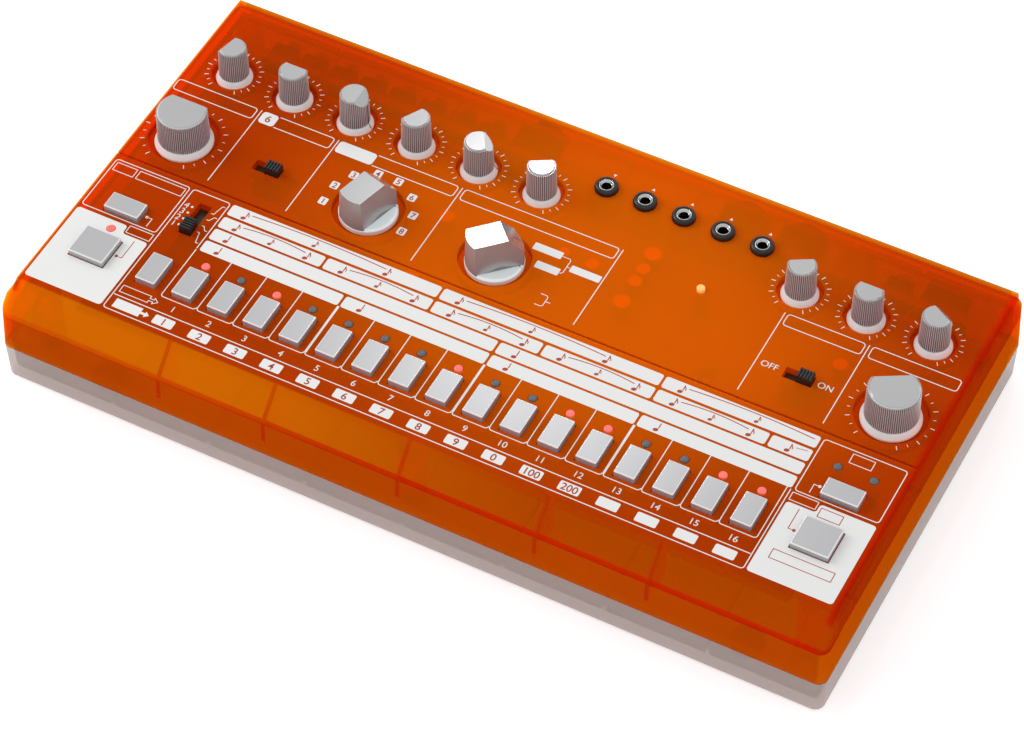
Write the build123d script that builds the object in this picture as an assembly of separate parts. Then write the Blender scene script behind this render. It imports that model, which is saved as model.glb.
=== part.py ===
from build123d import *
import math
import os

# Analogue drum machine: a translucent moulded top case on a frosted bottom case, with knobs in
# round wells, sprung keys, slide switches, patch jacks and a rear panel of connectors.
# The case frame has its origin at the centre of the case's underside, +Z up, +Y to the rear.
# Values whose names start with H_ are heights above the control deck, and Z values are heights
# above the underside.

# ---- the two shells ----
CASE_LENGTH = 305.0  # at the seam between the shells
CASE_DEPTH = 161.3
CASE_CORNER_R = 3.5
BASE_DRAFT = 0.4  # how far the bottom case draws in, each side, at its underside
SEAM_Z = 14.4
LEDGE_Z = 35.5
DECK_Z = 40.1
TOP_DRAFT = 0.8  # how far the top case draws in, each side, from the seam to the ledge
LEDGE_WIDTH = 1.6
DECK_DRAFT = 0.4
BEVEL_LOW_Z = 29.8
BEVEL_RUN = 10.0  # depth of the sloping front edge of the deck
EDGE_ROUND = 0.5  # on the rims of the deck and the ledge
WALL = 2.5
ROOF = 3.0
FLOOR = 2.5
GROOVE_WIDTH = 0.9
GROOVE_DEPTH = 1.0
LIP_HEIGHT = 2.0
LIP_THICKNESS = 1.1
LIP_CLEARANCE = 0.1
REAR_PROUD = 3.6  # how far the large output jack stands out behind the seam
FLOOR_RIB = 3.0
FLOOR_RIB_PITCH = 37.0
FLOOR_RIB_COUNT = 7
FLOOR_RIB_YS = (-38.0, 12.0)
RIB = 1.5
FRONT_RIB_XS = (-90.0, -50.0, 0.0, 50.0, 90.0)  # upright ribs under the sloping front
FRONT_RIB_DEPTH = 13.0
FRONT_RIB_LOW_Z = 21.0
PAST = 1.0  # how far a cut runs past the face it opens
CLOSE = 0.01  # two heights that differ by less are the same

# ---- feet ----
FOOT_R = 6.0
FOOT_PROUD = 1.0
FOOT_POCKET = 1.0
FOOT_MARGIN = (32.5, 14.65)  # from the case's ends and its long sides to a foot's centre

# ---- boards ----
BOARD = 1.6
BOARD_TOP_Z = 27.5
BOARD_END_MARGIN = 7.5  # from the case's ends to the main board
BOARD_FRONT_MARGIN = 16.65
BOARD_REAR_GAP = 3.85  # between the main board and the five-pole sockets behind it
BOARD_NOTCH_GAP = 4.5  # between the notched front corners and the case bosses
IO_BOARD_TOP_Z = 17.0
IO_BOARD_DEPTH = 28.5
IO_BOARD_END_GAP = 0.8  # between the connector board and the case bosses
IO_BOARD_REAR_GAP = 1.55  # from the connectors' fronts to the connector board's edge
LINK = (30.0, 5.0)  # the header that joins the boards
LINK_OFFSET = 58.0  # from the large output jack to the header

# ---- where the controls stand ----
SIDE_MARGIN = 19.4  # from the case's ends to the outermost controls
SMALL_KNOB_MARGIN = 35.45  # from the rear to the upper row of knobs
PATCH_MARGIN = 24.25
KEY_ROW_MARGIN = 33.25  # from the front to the step keys
LED_ROW_MARGIN = 43.35
SHORT_KEY_MARGIN = 53.15
SCALE_SWITCH_MARGIN = 55.45
PATTERN_LED_MARGIN = 63.35
LOWER_ROW_BALANCE = 0.55  # where the lower knobs stand between the upper row and the pattern lamps
GROOVE_OFFSET = 17.0  # from the lower knobs to the groove
FUNCTION_KEY_OFFSET = 23.15  # from the left side keys to the function key
STEP_OFFSET = 14.0  # from the function key to the first step key
STEP_END_OFFSET = 23.75  # from the last step key to the right side keys

# ---- knobs ----
KNOB_HEIGHT = 13.0
KNOB_CROWN = 0.6
H_SKIRT_LOW = -2.5
H_SKIRT_RIM = -1.5
H_SKIRT_TOP = 0.4
SHAFT_R = 3.0
SHAFT_PLAY = 0.05
SHAFT_HOLE_PLAY = 0.5
SHAFT_SINK = 3.5  # how deep a shaft reaches into its potentiometer
SHAFT_IN_KNOB = 9.0
WELL_DEPTH = 3.4
WELL_FLOOR = 1.8
WELL_WALL = 2.0
SMALL_WELL_R = 8.0
LARGE_WELL_R = 12.6
SMALL_FLUTES = 24
LARGE_FLUTES = 40
FLUTE_DEPTH = 0.35
SMALL_SKIRT_R = 6.5
SMALL_BODY_R = 5.4
SMALL_TOP_R = 5.0
SMALL_CHORD = 2.0  # from the knob's axis to the upper edge of the pointer facet
LARGE_SKIRT_R = 10.3
LARGE_BODY_R = 9.2
LARGE_TOP_R = 8.9
LARGE_CHORD = 5.0
FACET_SLOPE = 50.0
FACET_RUN = 5.5
SELECTOR_BASE_R = 10.3
SELECTOR_RIM = 0.7
SELECTOR_HEIGHT = 12.3
SELECTOR_CHORD = 3.5
BAR_FOOT_HALF = 5.8
BAR_TOP_HALF = 4.7
BAR_CROWN = 0.4
BAR_R_LOW = 10.1
BAR_R_HIGH = 9.7
POT_BODY = (9.6, 11.0)
ROTARY_BODY = (19.0, 19.0)
POT_GAP = 0.3  # between a potentiometer and the well above it

# the knobs of each row, from the left, on evenly spaced columns; an empty name is an empty column
UPPER_ROW = ("accent", "bass_drum", "snare_drum", "tom", "cymbal", "hi_hat", "", "", "", "distortion",
             "tone", "level")
LOWER_ROW = ("tempo", "", "", "instrument", "", "mode", "", "", "", "", "", "volume")
LARGE_KNOBS = ("tempo", "volume")
SELECTORS = ("instrument", "mode")
# how far each pointer is turned clockwise from the rear
POINTER_ANGLES = {"accent": -78.0, "bass_drum": 0.0, "snare_drum": 90.0, "tom": -60.0, "cymbal": 60.0,
                  "hi_hat": -30.0, "distortion": -30.0, "tone": 0.0, "level": 30.0, "tempo": 0.0,
                  "volume": -30.0, "instrument": 15.0, "mode": 45.0}

# ---- keys and their switches ----
STEP_COUNT = 16
STEP_KEY = (7.5, 12.6)
WIDE_KEY = (13.3, 12.6)
SHORT_KEY = (13.3, 7.1)
KEY_HEIGHT = 2.3
KEY_BEVEL = 0.4
KEY_GAP = 0.35
KEY_FLANGE = 0.9
KEY_FLANGE_THICKNESS = 1.0
KEY_FLANGE_GAP = 0.3
KEY_STEM = 3.2
KEY_TRAVEL = 0.5
SWITCH = (6.0, 3.5)  # side and height of a key switch
PLUNGER = 2.6
PLUNGER_RISE = 1.5
PLUNGER_SINK = 0.8
PLUNGER_PLAY = 0.15

# ---- lamps ----
LED_R = 1.5
LED_HOLE_R = 1.65
H_LED = 0.5
LED_SPACER = (3.8, 5.5)  # side and height of the block an LED stands on
PATTERN_LED_PITCH = 12.7
TEMPO_LAMP_OFFSET = (-29.4, 19.4)  # from the distortion knob and the lower knobs

# ---- slide switches ----
SLIDE_CAP = (5.4, 4.2)
SLIDE_CAP_HEIGHT = 3.0
SLIDE_FLANGE = 0.8  # thickness of the dust cover under the slot
SLIDE_FLANGE_GAP = 0.3
SLIDE_FLANGE_REACH = 0.5  # how far the dust cover reaches past the slot
SLIDE_GAP = 0.25
SHORT_TRAVEL = 4.6
SCALE_TRAVEL = 8.9
SLIDE_STEM = 2.4
SLIDE_STEM_SINK = 2.0
SLIDE_BODY_HEIGHT = 5.0
SLIDE_BODY_WALL = 1.8
SLIDE_GRIPS = 4
SLIDE_GRIP = 0.5
SELECT_SWITCH_OFFSET = 11.4  # from the bass drum knob
DISTORTION_SWITCH_OFFSET = -6.5  # from the tone knob

# ---- patch jacks on the deck ----
PATCH_COUNT = 5
PATCH_PITCH = 14.63
H_PATCH_TOP = 2.0
COLLAR_R = 4.2
COLLAR_HEIGHT = 2.2
COLLAR_ROUND = 0.9
MINI_BORE_R = 1.8
MINI_BUSH_R = 2.75
MINI_HOLE_R = 3.0
MINI_BORE = 13.8  # length of the bore
MINI_BODY = 9.0

# ---- rear connectors ----
PANEL_GAP = 0.3  # between a connector's body and the rear wall
END_WALL = 1.2
CORE_SINK = 1.0  # how far a socket's core stays behind its face
VOICE_COUNT = 8
VOICE_PITCH = 11.9
VOICE_MARGIN = 22.2  # from the case's end to the first voice jack
MINI_PROUD = 1.2
MIX_OFFSET = 19.0  # from the last voice jack
MIX_BORE_R = 3.2
MIX_BUSH_R = 4.6
MIX_NUT_R = 7.2
MIX_NUT = 2.2
MIX_BORE = 29.0
MIX_BODY = 15.0
MIX_NOTCH_GAP = 1.5  # round this jack, in the main board
MIDI_PITCH = 22.0
MIDI_OFFSET = 19.0  # from the data socket
MIDI_R = 7.55
MIDI_CORE_R = 5.9
MIDI_SHIELD = 0.5
MIDI_BODY = 15.2
MIDI_DEPTH = 12.0
MIDI_SINK = 7.0
USB_OFFSET = 17.0  # from the power inlet
USB_SHELL = (12.0, 10.9)
USB_MOUTH = (8.6, 7.9)
USB_TONGUE = (5.6, 3.2)
USB_DEPTH = 14.0
USB_SINK = 9.0
DC_OFFSET = 17.5  # from the power switch
DC_BODY = 9.0
DC_BORE_R = 3.2
DC_PIN_R = 1.0
DC_DEPTH = 12.0
DC_SINK = 9.5
POWER_MARGIN = 26.0  # from the case's end
POWER_FRAME = (16.4, 11.4)
POWER_MOUTH = (14.0, 9.0)
POWER_DEPTH = 10.0
POWER_SINK = 8.6
ROCKER = (13.3, 7.4)
ROCKER_FRONT = 3.7  # from the rocker's pivot to its ends' faces
ROCKER_BACK = 3.0
ROCKER_HOLLOW = 0.7
ROCKER_TILT = 7.0
ROCKER_PIVOT = 2.6  # depth of the pivot inside the rear face
ROCKER_PIN_R = 1.0
ROCKER_PIN = 0.85
CUT_GAP = 0.1

# ---- bosses, ribs and screws ----
BOARD_SCREW_REAR_MARGIN = 23.45
BOARD_SCREW_FRONT_MARGIN = 21.15
# the knob that each stands by, and how far it stands to the right of it
BOARD_SCREWS_REAR = (("bass_drum", 2.0), ("distortion", 11.4))
BOARD_SCREWS_MIDDLE = (("tom", -16.5), ("distortion", -12.6))
BOARD_SCREWS_FRONT = (("tom", 8.5), ("distortion", -36.8), ("tone", -0.4))
BOARD_SCREW_MIDDLE_OFFSET = 10.8  # from the lower knobs
BOARD_BOSS_R = 3.6
CASE_SCREW_END_MARGIN = 11.5
CASE_SCREW_FRONT_MARGIN = 14.15
CASE_SCREW_REAR_MARGIN = 11.15
MIDDLE_SCREW_MARGIN = 10.65  # from the front to the screw in the middle
CASE_BOSS_R = 4.7
IO_SCREW_MARGIN = (15.5, 5.0)  # from the connector board's ends and its front edge
IO_SCREW_MIX_OFFSET = 22.0
IO_SCREW_LINK_OFFSET = 30.0
IO_POST_R = 3.4
SCREW_R = 1.35
SCREW_PLAY = 0.05
SCREW_CLEAR = 0.3
SCREW_HEAD_R = 2.6
SCREW_HEAD = 1.8
SCREW_BITE = 7.0
SCREW_END_GAP = 1.0  # left free at the bottom of a screw's hole
CASE_SCREW_SEAT = 4.4  # material between a case screw's head and the seam
REAR_RIB_MARGIN = 17.65
REAR_RIB_DROP = 4.0
CROSS_RIB_DROP = 2.6
CROSS_RIBS = (("bass_drum", 2.0), ("tom", 3.5), ("hi_hat", -3.4), ("hi_hat", 21.8), ("distortion", -48.4),
              ("distortion", -26.6), ("distortion", 7.3), ("tone", 8.1))
CAPACITOR_HEIGHT = 6.5
# the knob that each stands by, its place from that knob, and its radius
CAPACITORS = (("distortion", -52.7, -3.2, 3.0), ("distortion", -52.7, -10.7, 2.4),
              ("distortion", -52.7, -16.8, 2.4), ("distortion", -52.7, -27.0, 3.0),
              ("distortion", -68.9, -16.7, 2.3), ("hi_hat", 17.1, -16.2, 2.0), ("cymbal", -1.6, -20.2, 2.5),
              ("tone", -0.8, -18.2, 2.5), ("cymbal", 0.4, -49.2, 2.5))

# ---- worked out from the sizes above ----
HALF_X = CASE_LENGTH / 2
HALF_Y = CASE_DEPTH / 2
SIDE_X = HALF_X - SIDE_MARGIN
COLUMN_PITCH = 2 * SIDE_X / (len(UPPER_ROW) - 1)
# name: x
SMALL_KNOBS = {name: COLUMN_PITCH * i - SIDE_X for i, name in enumerate(UPPER_ROW) if name}
LOWER_KNOBS = {name: COLUMN_PITCH * i - SIDE_X for i, name in enumerate(LOWER_ROW) if name}
SMALL_KNOB_Y = HALF_Y - SMALL_KNOB_MARGIN
PATCH_Y = HALF_Y - PATCH_MARGIN
KEY_ROW_Y = KEY_ROW_MARGIN - HALF_Y
LED_ROW_Y = LED_ROW_MARGIN - HALF_Y
SHORT_KEY_Y = SHORT_KEY_MARGIN - HALF_Y
SCALE_SWITCH_Y = SCALE_SWITCH_MARGIN - HALF_Y
PATTERN_LED_Y = PATTERN_LED_MARGIN - HALF_Y
LOWER_KNOB_Y = SMALL_KNOB_Y - LOWER_ROW_BALANCE * (SMALL_KNOB_Y - PATTERN_LED_Y)
GROOVE_Y = LOWER_KNOB_Y - GROOVE_OFFSET
REAR_RIB_Y = HALF_Y - REAR_RIB_MARGIN
ROOF_LOW_Z = DECK_Z - ROOF
WELL_LOW_Z = DECK_Z - WELL_DEPTH - WELL_FLOOR
POT_TOP_Z = WELL_LOW_Z - POT_GAP
BODY_FRONT_Y = HALF_Y - TOP_DRAFT - WALL - PANEL_GAP
BOARD_LOW_Z = BOARD_TOP_Z - BOARD
IO_BOARD_LOW_Z = IO_BOARD_TOP_Z - BOARD
SWITCH_TOP_Z = BOARD_TOP_Z + SWITCH[1]
PLUNGER_TOP_Z = SWITCH_TOP_Z + PLUNGER_RISE
FUNCTION_KEY_X = FUNCTION_KEY_OFFSET - SIDE_X
STEP_FIRST_X = FUNCTION_KEY_X + STEP_OFFSET
STEP_PITCH = (SIDE_X - STEP_END_OFFSET - STEP_FIRST_X) / (STEP_COUNT - 1)
STEP_XS = [STEP_FIRST_X + STEP_PITCH * i for i in range(STEP_COUNT)]
PATCH_CENTRE_X = (SMALL_KNOBS["hi_hat"] + SMALL_KNOBS["distortion"]) / 2
PATCH_XS = [PATCH_CENTRE_X + PATCH_PITCH * (i - (PATCH_COUNT - 1) / 2) for i in range(PATCH_COUNT)]
VOICE_XS = [VOICE_MARGIN - HALF_X + VOICE_PITCH * i for i in range(VOICE_COUNT)]
MIX_X = VOICE_XS[-1] + MIX_OFFSET
MIX_MOUTH_Y = HALF_Y + REAR_PROUD
MIX_BACK_Y = MIX_MOUTH_Y - MIX_BORE - END_WALL
POWER_X = HALF_X - POWER_MARGIN
DC_X = POWER_X - DC_OFFSET
USB_X = DC_X - USB_OFFSET
MIDI_XS = (USB_X - MIDI_OFFSET - MIDI_PITCH, USB_X - MIDI_OFFSET)
CASE_SCREW_X = HALF_X - CASE_SCREW_END_MARGIN
CASE_SCREW_FRONT_Y = CASE_SCREW_FRONT_MARGIN - HALF_Y
CASE_SCREW_REAR_Y = HALF_Y - CASE_SCREW_REAR_MARGIN
CASE_SCREWS = [(sx * CASE_SCREW_X, y) for sx in (-1, 1) for y in (CASE_SCREW_FRONT_Y, CASE_SCREW_REAR_Y)]
CASE_SCREWS.append((0, MIDDLE_SCREW_MARGIN - HALF_Y))
BOARD_HALF_X = HALF_X - BOARD_END_MARGIN
BOARD_FRONT_Y = BOARD_FRONT_MARGIN - HALF_Y
BOARD_REAR_Y = BODY_FRONT_Y - MIDI_DEPTH - BOARD_REAR_GAP
IO_BOARD_HALF_X = CASE_SCREW_X - CASE_BOSS_R - IO_BOARD_END_GAP
IO_BOARD_REAR_Y = BODY_FRONT_Y - IO_BOARD_REAR_GAP
IO_BOARD_FRONT_Y = IO_BOARD_REAR_Y - IO_BOARD_DEPTH
IO_SCREW_Y = IO_BOARD_FRONT_Y + IO_SCREW_MARGIN[1]
LINK_X = MIX_X + LINK_OFFSET
IO_SCREW_END_X = IO_BOARD_HALF_X - IO_SCREW_MARGIN[0]
IO_SCREW_XS = (-IO_SCREW_END_X, MIX_X - IO_SCREW_MIX_OFFSET, LINK_X + IO_SCREW_LINK_OFFSET, IO_SCREW_END_X)
IO_SCREWS = [(x, IO_SCREW_Y) for x in IO_SCREW_XS]
BOARD_SCREWS = [(SMALL_KNOBS[knob] + dx, y) for row, y in (
    (BOARD_SCREWS_REAR, HALF_Y - BOARD_SCREW_REAR_MARGIN),
    (BOARD_SCREWS_MIDDLE, LOWER_KNOB_Y - BOARD_SCREW_MIDDLE_OFFSET),
    (BOARD_SCREWS_FRONT, BOARD_SCREW_FRONT_MARGIN - HALF_Y)) for knob, dx in row]
FLOOR_RIB_XS = [FLOOR_RIB_PITCH * (i - (FLOOR_RIB_COUNT - 1) / 2) for i in range(FLOOR_RIB_COUNT)]
CROSS_RIB_XS = [SMALL_KNOBS[knob] + dx for knob, dx in CROSS_RIBS]
FEET = [(sx * (HALF_X - FOOT_MARGIN[0]), sy * (HALF_Y - FOOT_MARGIN[1])) for sx in (-1, 1) for sy in (-1, 1)]
LEDS = [(x, LED_ROW_Y) for x in STEP_XS]
LEDS.append((-SIDE_X, LED_ROW_Y))
LEDS.append((SMALL_KNOBS["distortion"] + TEMPO_LAMP_OFFSET[0], LOWER_KNOB_Y + TEMPO_LAMP_OFFSET[1]))
LEDS += [(SIDE_X + side * PATTERN_LED_PITCH / 2, PATTERN_LED_Y) for side in (-1, 1)]
SMALL_PLACES = [(x, SMALL_KNOB_Y) for x in SMALL_KNOBS.values()]
LARGE_PLACES = [(LOWER_KNOBS[name], LOWER_KNOB_Y) for name in LARGE_KNOBS]
ROTARY_PLACES = [(LOWER_KNOBS[name], LOWER_KNOB_Y) for name in SELECTORS]
WELLS = [(x, y, SMALL_WELL_R) for x, y in SMALL_PLACES]
WELLS += [(x, y, LARGE_WELL_R) for x, y in LARGE_PLACES + ROTARY_PLACES]
# name: (x, y, size along x, size along y)
KEYS = {f"step_key_{i + 1:02d}": (x, KEY_ROW_Y, *STEP_KEY) for i, x in enumerate(STEP_XS)}
KEYS["function_key"] = (FUNCTION_KEY_X, KEY_ROW_Y, *STEP_KEY)
KEYS["start_stop_key"] = (-SIDE_X, KEY_ROW_Y, *WIDE_KEY)
KEYS["write_next_key"] = (SIDE_X, KEY_ROW_Y, *WIDE_KEY)
KEYS["clear_key"] = (-SIDE_X, SHORT_KEY_Y, *SHORT_KEY)
KEYS["pattern_group_key"] = (SIDE_X, SHORT_KEY_Y, *SHORT_KEY)
SELECT_SWITCH_X = SMALL_KNOBS["bass_drum"] + SELECT_SWITCH_OFFSET
DISTORTION_SWITCH_X = SMALL_KNOBS["tone"] + DISTORTION_SWITCH_OFFSET
# name: (x, y, travel along x, travel along y, size along x, size along y)
SLIDES = {
    "select_switch_cap": (SELECT_SWITCH_X, LOWER_KNOB_Y, -SHORT_TRAVEL, 0.0, *SLIDE_CAP),
    "distortion_switch_cap": (DISTORTION_SWITCH_X, LOWER_KNOB_Y, -SHORT_TRAVEL, 0.0, *SLIDE_CAP),
    "scale_switch_cap": (FUNCTION_KEY_X, SCALE_SWITCH_Y, 0.0, SCALE_TRAVEL, SLIDE_CAP[1], SLIDE_CAP[0]),
}


# ---- basic shapes ----
def block(x0, x1, y0, y1, z0, z1):
    """A box between two corners."""
    return Pos((x0 + x1) / 2, (y0 + y1) / 2, (z0 + z1) / 2) * Box(x1 - x0, y1 - y0, z1 - z0)


def block_at(x, y, size_x, size_y, z0, z1):
    """A box centred on x, y between two heights."""
    return block(x - size_x / 2, x + size_x / 2, y - size_y / 2, y + size_y / 2, z0, z1)


def post(x, y, r, z0, z1):
    """An upright cylinder between two heights."""
    return Pos(x, y, (z0 + z1) / 2) * Cylinder(r, z1 - z0)


def rod_y(x, z, r, y0, y1):
    """A cylinder along Y between two depths."""
    return Pos(x, (y0 + y1) / 2, z) * Rot(90, 0, 0) * Cylinder(r, y1 - y0)


def turned(*points):
    """A body turned about Z from its (radius, height) points."""
    return revolve(make_face(Plane.XZ * Polyline(*points, close=True)), Axis.Z)


def joined(pieces):
    """One shape fused from many."""
    return Part() + pieces


def section(half_x, half_y, corner_r, z):
    """A rounded rectangle at height z."""
    return Plane.XY.offset(z) * RectangleRounded(2 * half_x, 2 * half_y, corner_r)


def swept(x, y, dx, dy, size_x, size_y, gap, z0, z1):
    """The room that a box of the given size sweeps as it slides by dx, dy."""
    hx, hy = size_x / 2 + gap, size_y / 2 + gap
    return block(min(x, x + dx) - hx, max(x, x + dx) + hx, min(y, y + dy) - hy, max(y, y + dy) + hy, z0, z1)


def rear_face(z):
    """Depth of the rear wall's outer face at height z."""
    return HALF_Y - TOP_DRAFT * (z - SEAM_Z) / (LEDGE_Z - SEAM_Z)


# ---- the two shells ----
def top_form(inset, drop):
    """The top case's outer form, drawn in by inset at the walls and by drop at the roof."""
    hx, hy = HALF_X - inset, HALF_Y - inset
    corner = max(CASE_CORNER_R - inset, RIB / 2)
    ledge_z = LEDGE_Z - drop
    walls = loft([section(hx, hy, corner, SEAM_Z), section(hx - TOP_DRAFT, hy - TOP_DRAFT, corner, ledge_z)],
                 ruled=True)
    foot_x, foot_y = hx - TOP_DRAFT - LEDGE_WIDTH, hy - TOP_DRAFT - LEDGE_WIDTH
    low = Plane.XY.offset(ledge_z) * Rectangle(2 * foot_x, 2 * foot_y)
    high = Plane.XY.offset(DECK_Z - drop) * Rectangle(2 * (foot_x - DECK_DRAFT), 2 * (foot_y - DECK_DRAFT))
    rise = DECK_Z - BEVEL_LOW_Z
    slope = math.atan2(rise, BEVEL_RUN)
    front_y = -rear_face(BEVEL_LOW_Z) + inset / math.sin(slope)
    over = Polyline((front_y - BEVEL_RUN, BEVEL_LOW_Z - rise),
                    (front_y + 2 * BEVEL_RUN, BEVEL_LOW_Z + 2 * rise),
                    (front_y - BEVEL_RUN, BEVEL_LOW_Z + 2 * rise), close=True)
    beyond = extrude(make_face(Plane.YZ * over), amount=CASE_LENGTH, both=True)
    return walls + loft([low, high], ruled=True) - beyond


def rounded_rims(form):
    """The outer form with the rims of its deck, its ledge and its sloping front rounded."""
    inner_x = HALF_X - TOP_DRAFT - LEDGE_WIDTH + CLOSE
    inner_y = HALF_Y - TOP_DRAFT - LEDGE_WIDTH + CLOSE

    def on_rim(edge):
        spot = edge.center()
        if abs(spot.Z - LEDGE_Z) < CLOSE:
            return abs(spot.X) > inner_x or spot.Y > inner_y
        return min(abs(spot.Z - DECK_Z), abs(spot.Z - BEVEL_LOW_Z)) < CLOSE

    return fillet([edge for edge in form.edges() if on_rim(edge)], EDGE_ROUND)


def lip_ring(z0, z1, outer_gap):
    """The upright lip round the seam, widened outwards by outer_gap."""
    outward = LIP_THICKNESS - WALL + outer_gap
    outer = section(HALF_X + outward, HALF_Y + outward, CASE_CORNER_R + outward, z0)
    inner = section(HALF_X - WALL, HALF_Y - WALL, CASE_CORNER_R - WALL, z0)
    return extrude(outer - inner, amount=z1 - z0)


def roof_fittings():
    """What is moulded under the deck: well cups, screw bosses and ribs."""
    top = DECK_Z
    fittings = [post(x, y, r + WELL_WALL, WELL_LOW_Z, top) for x, y, r in WELLS]
    fittings += [post(x, y, BOARD_BOSS_R, BOARD_TOP_Z, top) for x, y in BOARD_SCREWS]
    fittings += [post(x, y, CASE_BOSS_R, SEAM_Z, top) for x, y in CASE_SCREWS]
    fittings.append(block_at(0, REAR_RIB_Y, CASE_LENGTH, RIB, ROOF_LOW_Z - REAR_RIB_DROP, top))
    half = RIB / 2
    for x in CROSS_RIB_XS:
        fittings.append(block(x - half, x + half, REAR_RIB_Y, HALF_Y, ROOF_LOW_Z - CROSS_RIB_DROP, top))
    for x in (-CASE_SCREW_X, *FRONT_RIB_XS, CASE_SCREW_X):
        fittings.append(block(x - half, x + half, -HALF_Y, FRONT_RIB_DEPTH - HALF_Y, FRONT_RIB_LOW_Z, top))
    return joined(fittings) & top_form(WALL / 2, ROOF / 2)


def deck_cuts():
    """Everything that is cut through the deck."""
    over = DECK_Z + PAST
    under = ROOF_LOW_Z - PAST
    cuts = []
    for x, y, r in WELLS:
        cuts.append(post(x, y, r, DECK_Z - WELL_DEPTH, over))
        cuts.append(post(x, y, SHAFT_R + SHAFT_HOLE_PLAY, WELL_LOW_Z - PAST, over))
    for x, y, size_x, size_y in KEYS.values():
        cuts.append(block_at(x, y, size_x + 2 * KEY_GAP, size_y + 2 * KEY_GAP, under, over))
    cuts += [post(x, y, LED_HOLE_R, under, over) for x, y in LEDS]
    cuts += [post(x, PATCH_Y, MINI_HOLE_R, under, over) for x in PATCH_XS]
    cuts += [swept(*slide, SLIDE_GAP, under, over) for slide in SLIDES.values()]
    half = GROOVE_WIDTH / 2
    cuts.append(block(-HALF_X, HALF_X, GROOVE_Y - half, GROOVE_Y + half, DECK_Z - GROOVE_DEPTH, over))
    return cuts


def rear_cuts():
    """The openings of the rear wall."""
    y0, y1 = HALF_Y - TOP_DRAFT - WALL - PAST, HALF_Y + PAST
    cuts = [rod_y(x, axis_z(MINI_BODY), MINI_HOLE_R, y0, y1) for x in VOICE_XS]
    cuts.append(rod_y(MIX_X, axis_z(MIX_BODY), MIX_BUSH_R + CUT_GAP, y0, y1))
    cuts += [rod_y(x, axis_z(MIDI_BODY), MIDI_R + CUT_GAP, y0, y1) for x in MIDI_XS]
    cuts.append(rod_y(DC_X, axis_z(DC_BODY), DC_BORE_R + END_WALL / 2 + CUT_GAP, y0, y1))
    for x, (size_x, size_z) in ((USB_X, USB_SHELL), (POWER_X, POWER_FRAME)):
        hx, low = size_x / 2 + CUT_GAP, IO_BOARD_TOP_Z - CUT_GAP
        cuts.append(block(x - hx, x + hx, y0, y1, low, IO_BOARD_TOP_Z + size_z + CUT_GAP))
    return cuts


def top_case():
    shell = rounded_rims(top_form(0, 0)) - top_form(WALL, ROOF) + roof_fittings()
    cuts = deck_cuts() + rear_cuts()
    cuts.append(lip_ring(SEAM_Z, SEAM_Z + LIP_HEIGHT + LIP_CLEARANCE, LIP_CLEARANCE))
    thread = SCREW_R + SCREW_PLAY
    cuts += [post(x, y, thread, BOARD_TOP_Z - PAST, BOARD_TOP_Z + SCREW_BITE) for x, y in BOARD_SCREWS]
    cuts += [post(x, y, thread, SEAM_Z - PAST, SEAM_Z + SCREW_BITE) for x, y in CASE_SCREWS]
    return shell - cuts


def bottom_case():
    def form(inset, z0):
        low = section(HALF_X - BASE_DRAFT - inset, HALF_Y - BASE_DRAFT - inset, CASE_CORNER_R - inset, z0)
        high = section(HALF_X - inset, HALF_Y - inset, CASE_CORNER_R - inset, SEAM_Z)
        return loft([low, high], ruled=True)

    outer = form(0, 0)
    fittings = [block_at(x, 0, RIB, CASE_DEPTH, 0, FLOOR + FLOOR_RIB) for x in FLOOR_RIB_XS]
    fittings += [block_at(0, y, CASE_LENGTH, RIB, 0, FLOOR + FLOOR_RIB) for y in FLOOR_RIB_YS]
    fittings += [post(x, y, IO_POST_R, 0, SEAM_Z) for x, y in IO_SCREWS]
    fittings += [post(x, y, CASE_BOSS_R, 0, SEAM_Z) for x, y in CASE_SCREWS]
    shell = outer - form(WALL, FLOOR) + (joined(fittings) & outer)
    shell += lip_ring(SEAM_Z, SEAM_Z + LIP_HEIGHT, 0)
    shell += joined([post(x, y, IO_POST_R, SEAM_Z, IO_BOARD_LOW_Z) for x, y in IO_SCREWS])
    seat_z = SEAM_Z - CASE_SCREW_SEAT
    cuts = [post(x, y, FOOT_R, -PAST, FOOT_POCKET) for x, y in FEET]
    for x, y in CASE_SCREWS:
        cuts.append(post(x, y, SCREW_HEAD_R + SCREW_CLEAR, -PAST, seat_z))
        cuts.append(post(x, y, SCREW_R + SCREW_CLEAR, seat_z - PAST, SEAM_Z + PAST))
    bite_z = IO_BOARD_LOW_Z - SCREW_BITE + BOARD
    cuts += [post(x, y, SCREW_R + SCREW_PLAY, bite_z, IO_BOARD_LOW_Z + PAST) for x, y in IO_SCREWS]
    return shell - cuts


def rubber_feet():
    return [post(x, y, FOOT_R - CUT_GAP, -FOOT_PROUD, FOOT_POCKET) for x, y in FEET]


# ---- boards and screws ----
def main_board():
    board = block(-BOARD_HALF_X, BOARD_HALF_X, BOARD_FRONT_Y, BOARD_REAR_Y, BOARD_LOW_Z, BOARD_TOP_Z)
    over, under = BOARD_TOP_Z + PAST, BOARD_LOW_Z - PAST
    notch_x = BOARD_HALF_X - CASE_SCREW_X + CASE_BOSS_R + BOARD_NOTCH_GAP
    notch_y = CASE_SCREW_FRONT_Y + CASE_BOSS_R + BOARD_NOTCH_GAP - BOARD_FRONT_Y
    cuts = [block_at(sx * BOARD_HALF_X, BOARD_FRONT_Y, 2 * notch_x, 2 * notch_y, under, over)
            for sx in (-1, 1)]
    half = MIX_BODY / 2 + MIX_NOTCH_GAP
    notch_front = MIX_BACK_Y - MIX_NOTCH_GAP
    cuts.append(block(MIX_X - half, MIX_X + half, notch_front, BOARD_REAR_Y + PAST, under, over))
    cuts += [post(x, y, SCREW_R + SCREW_CLEAR, under, over) for x, y in BOARD_SCREWS]
    return board - cuts


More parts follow.
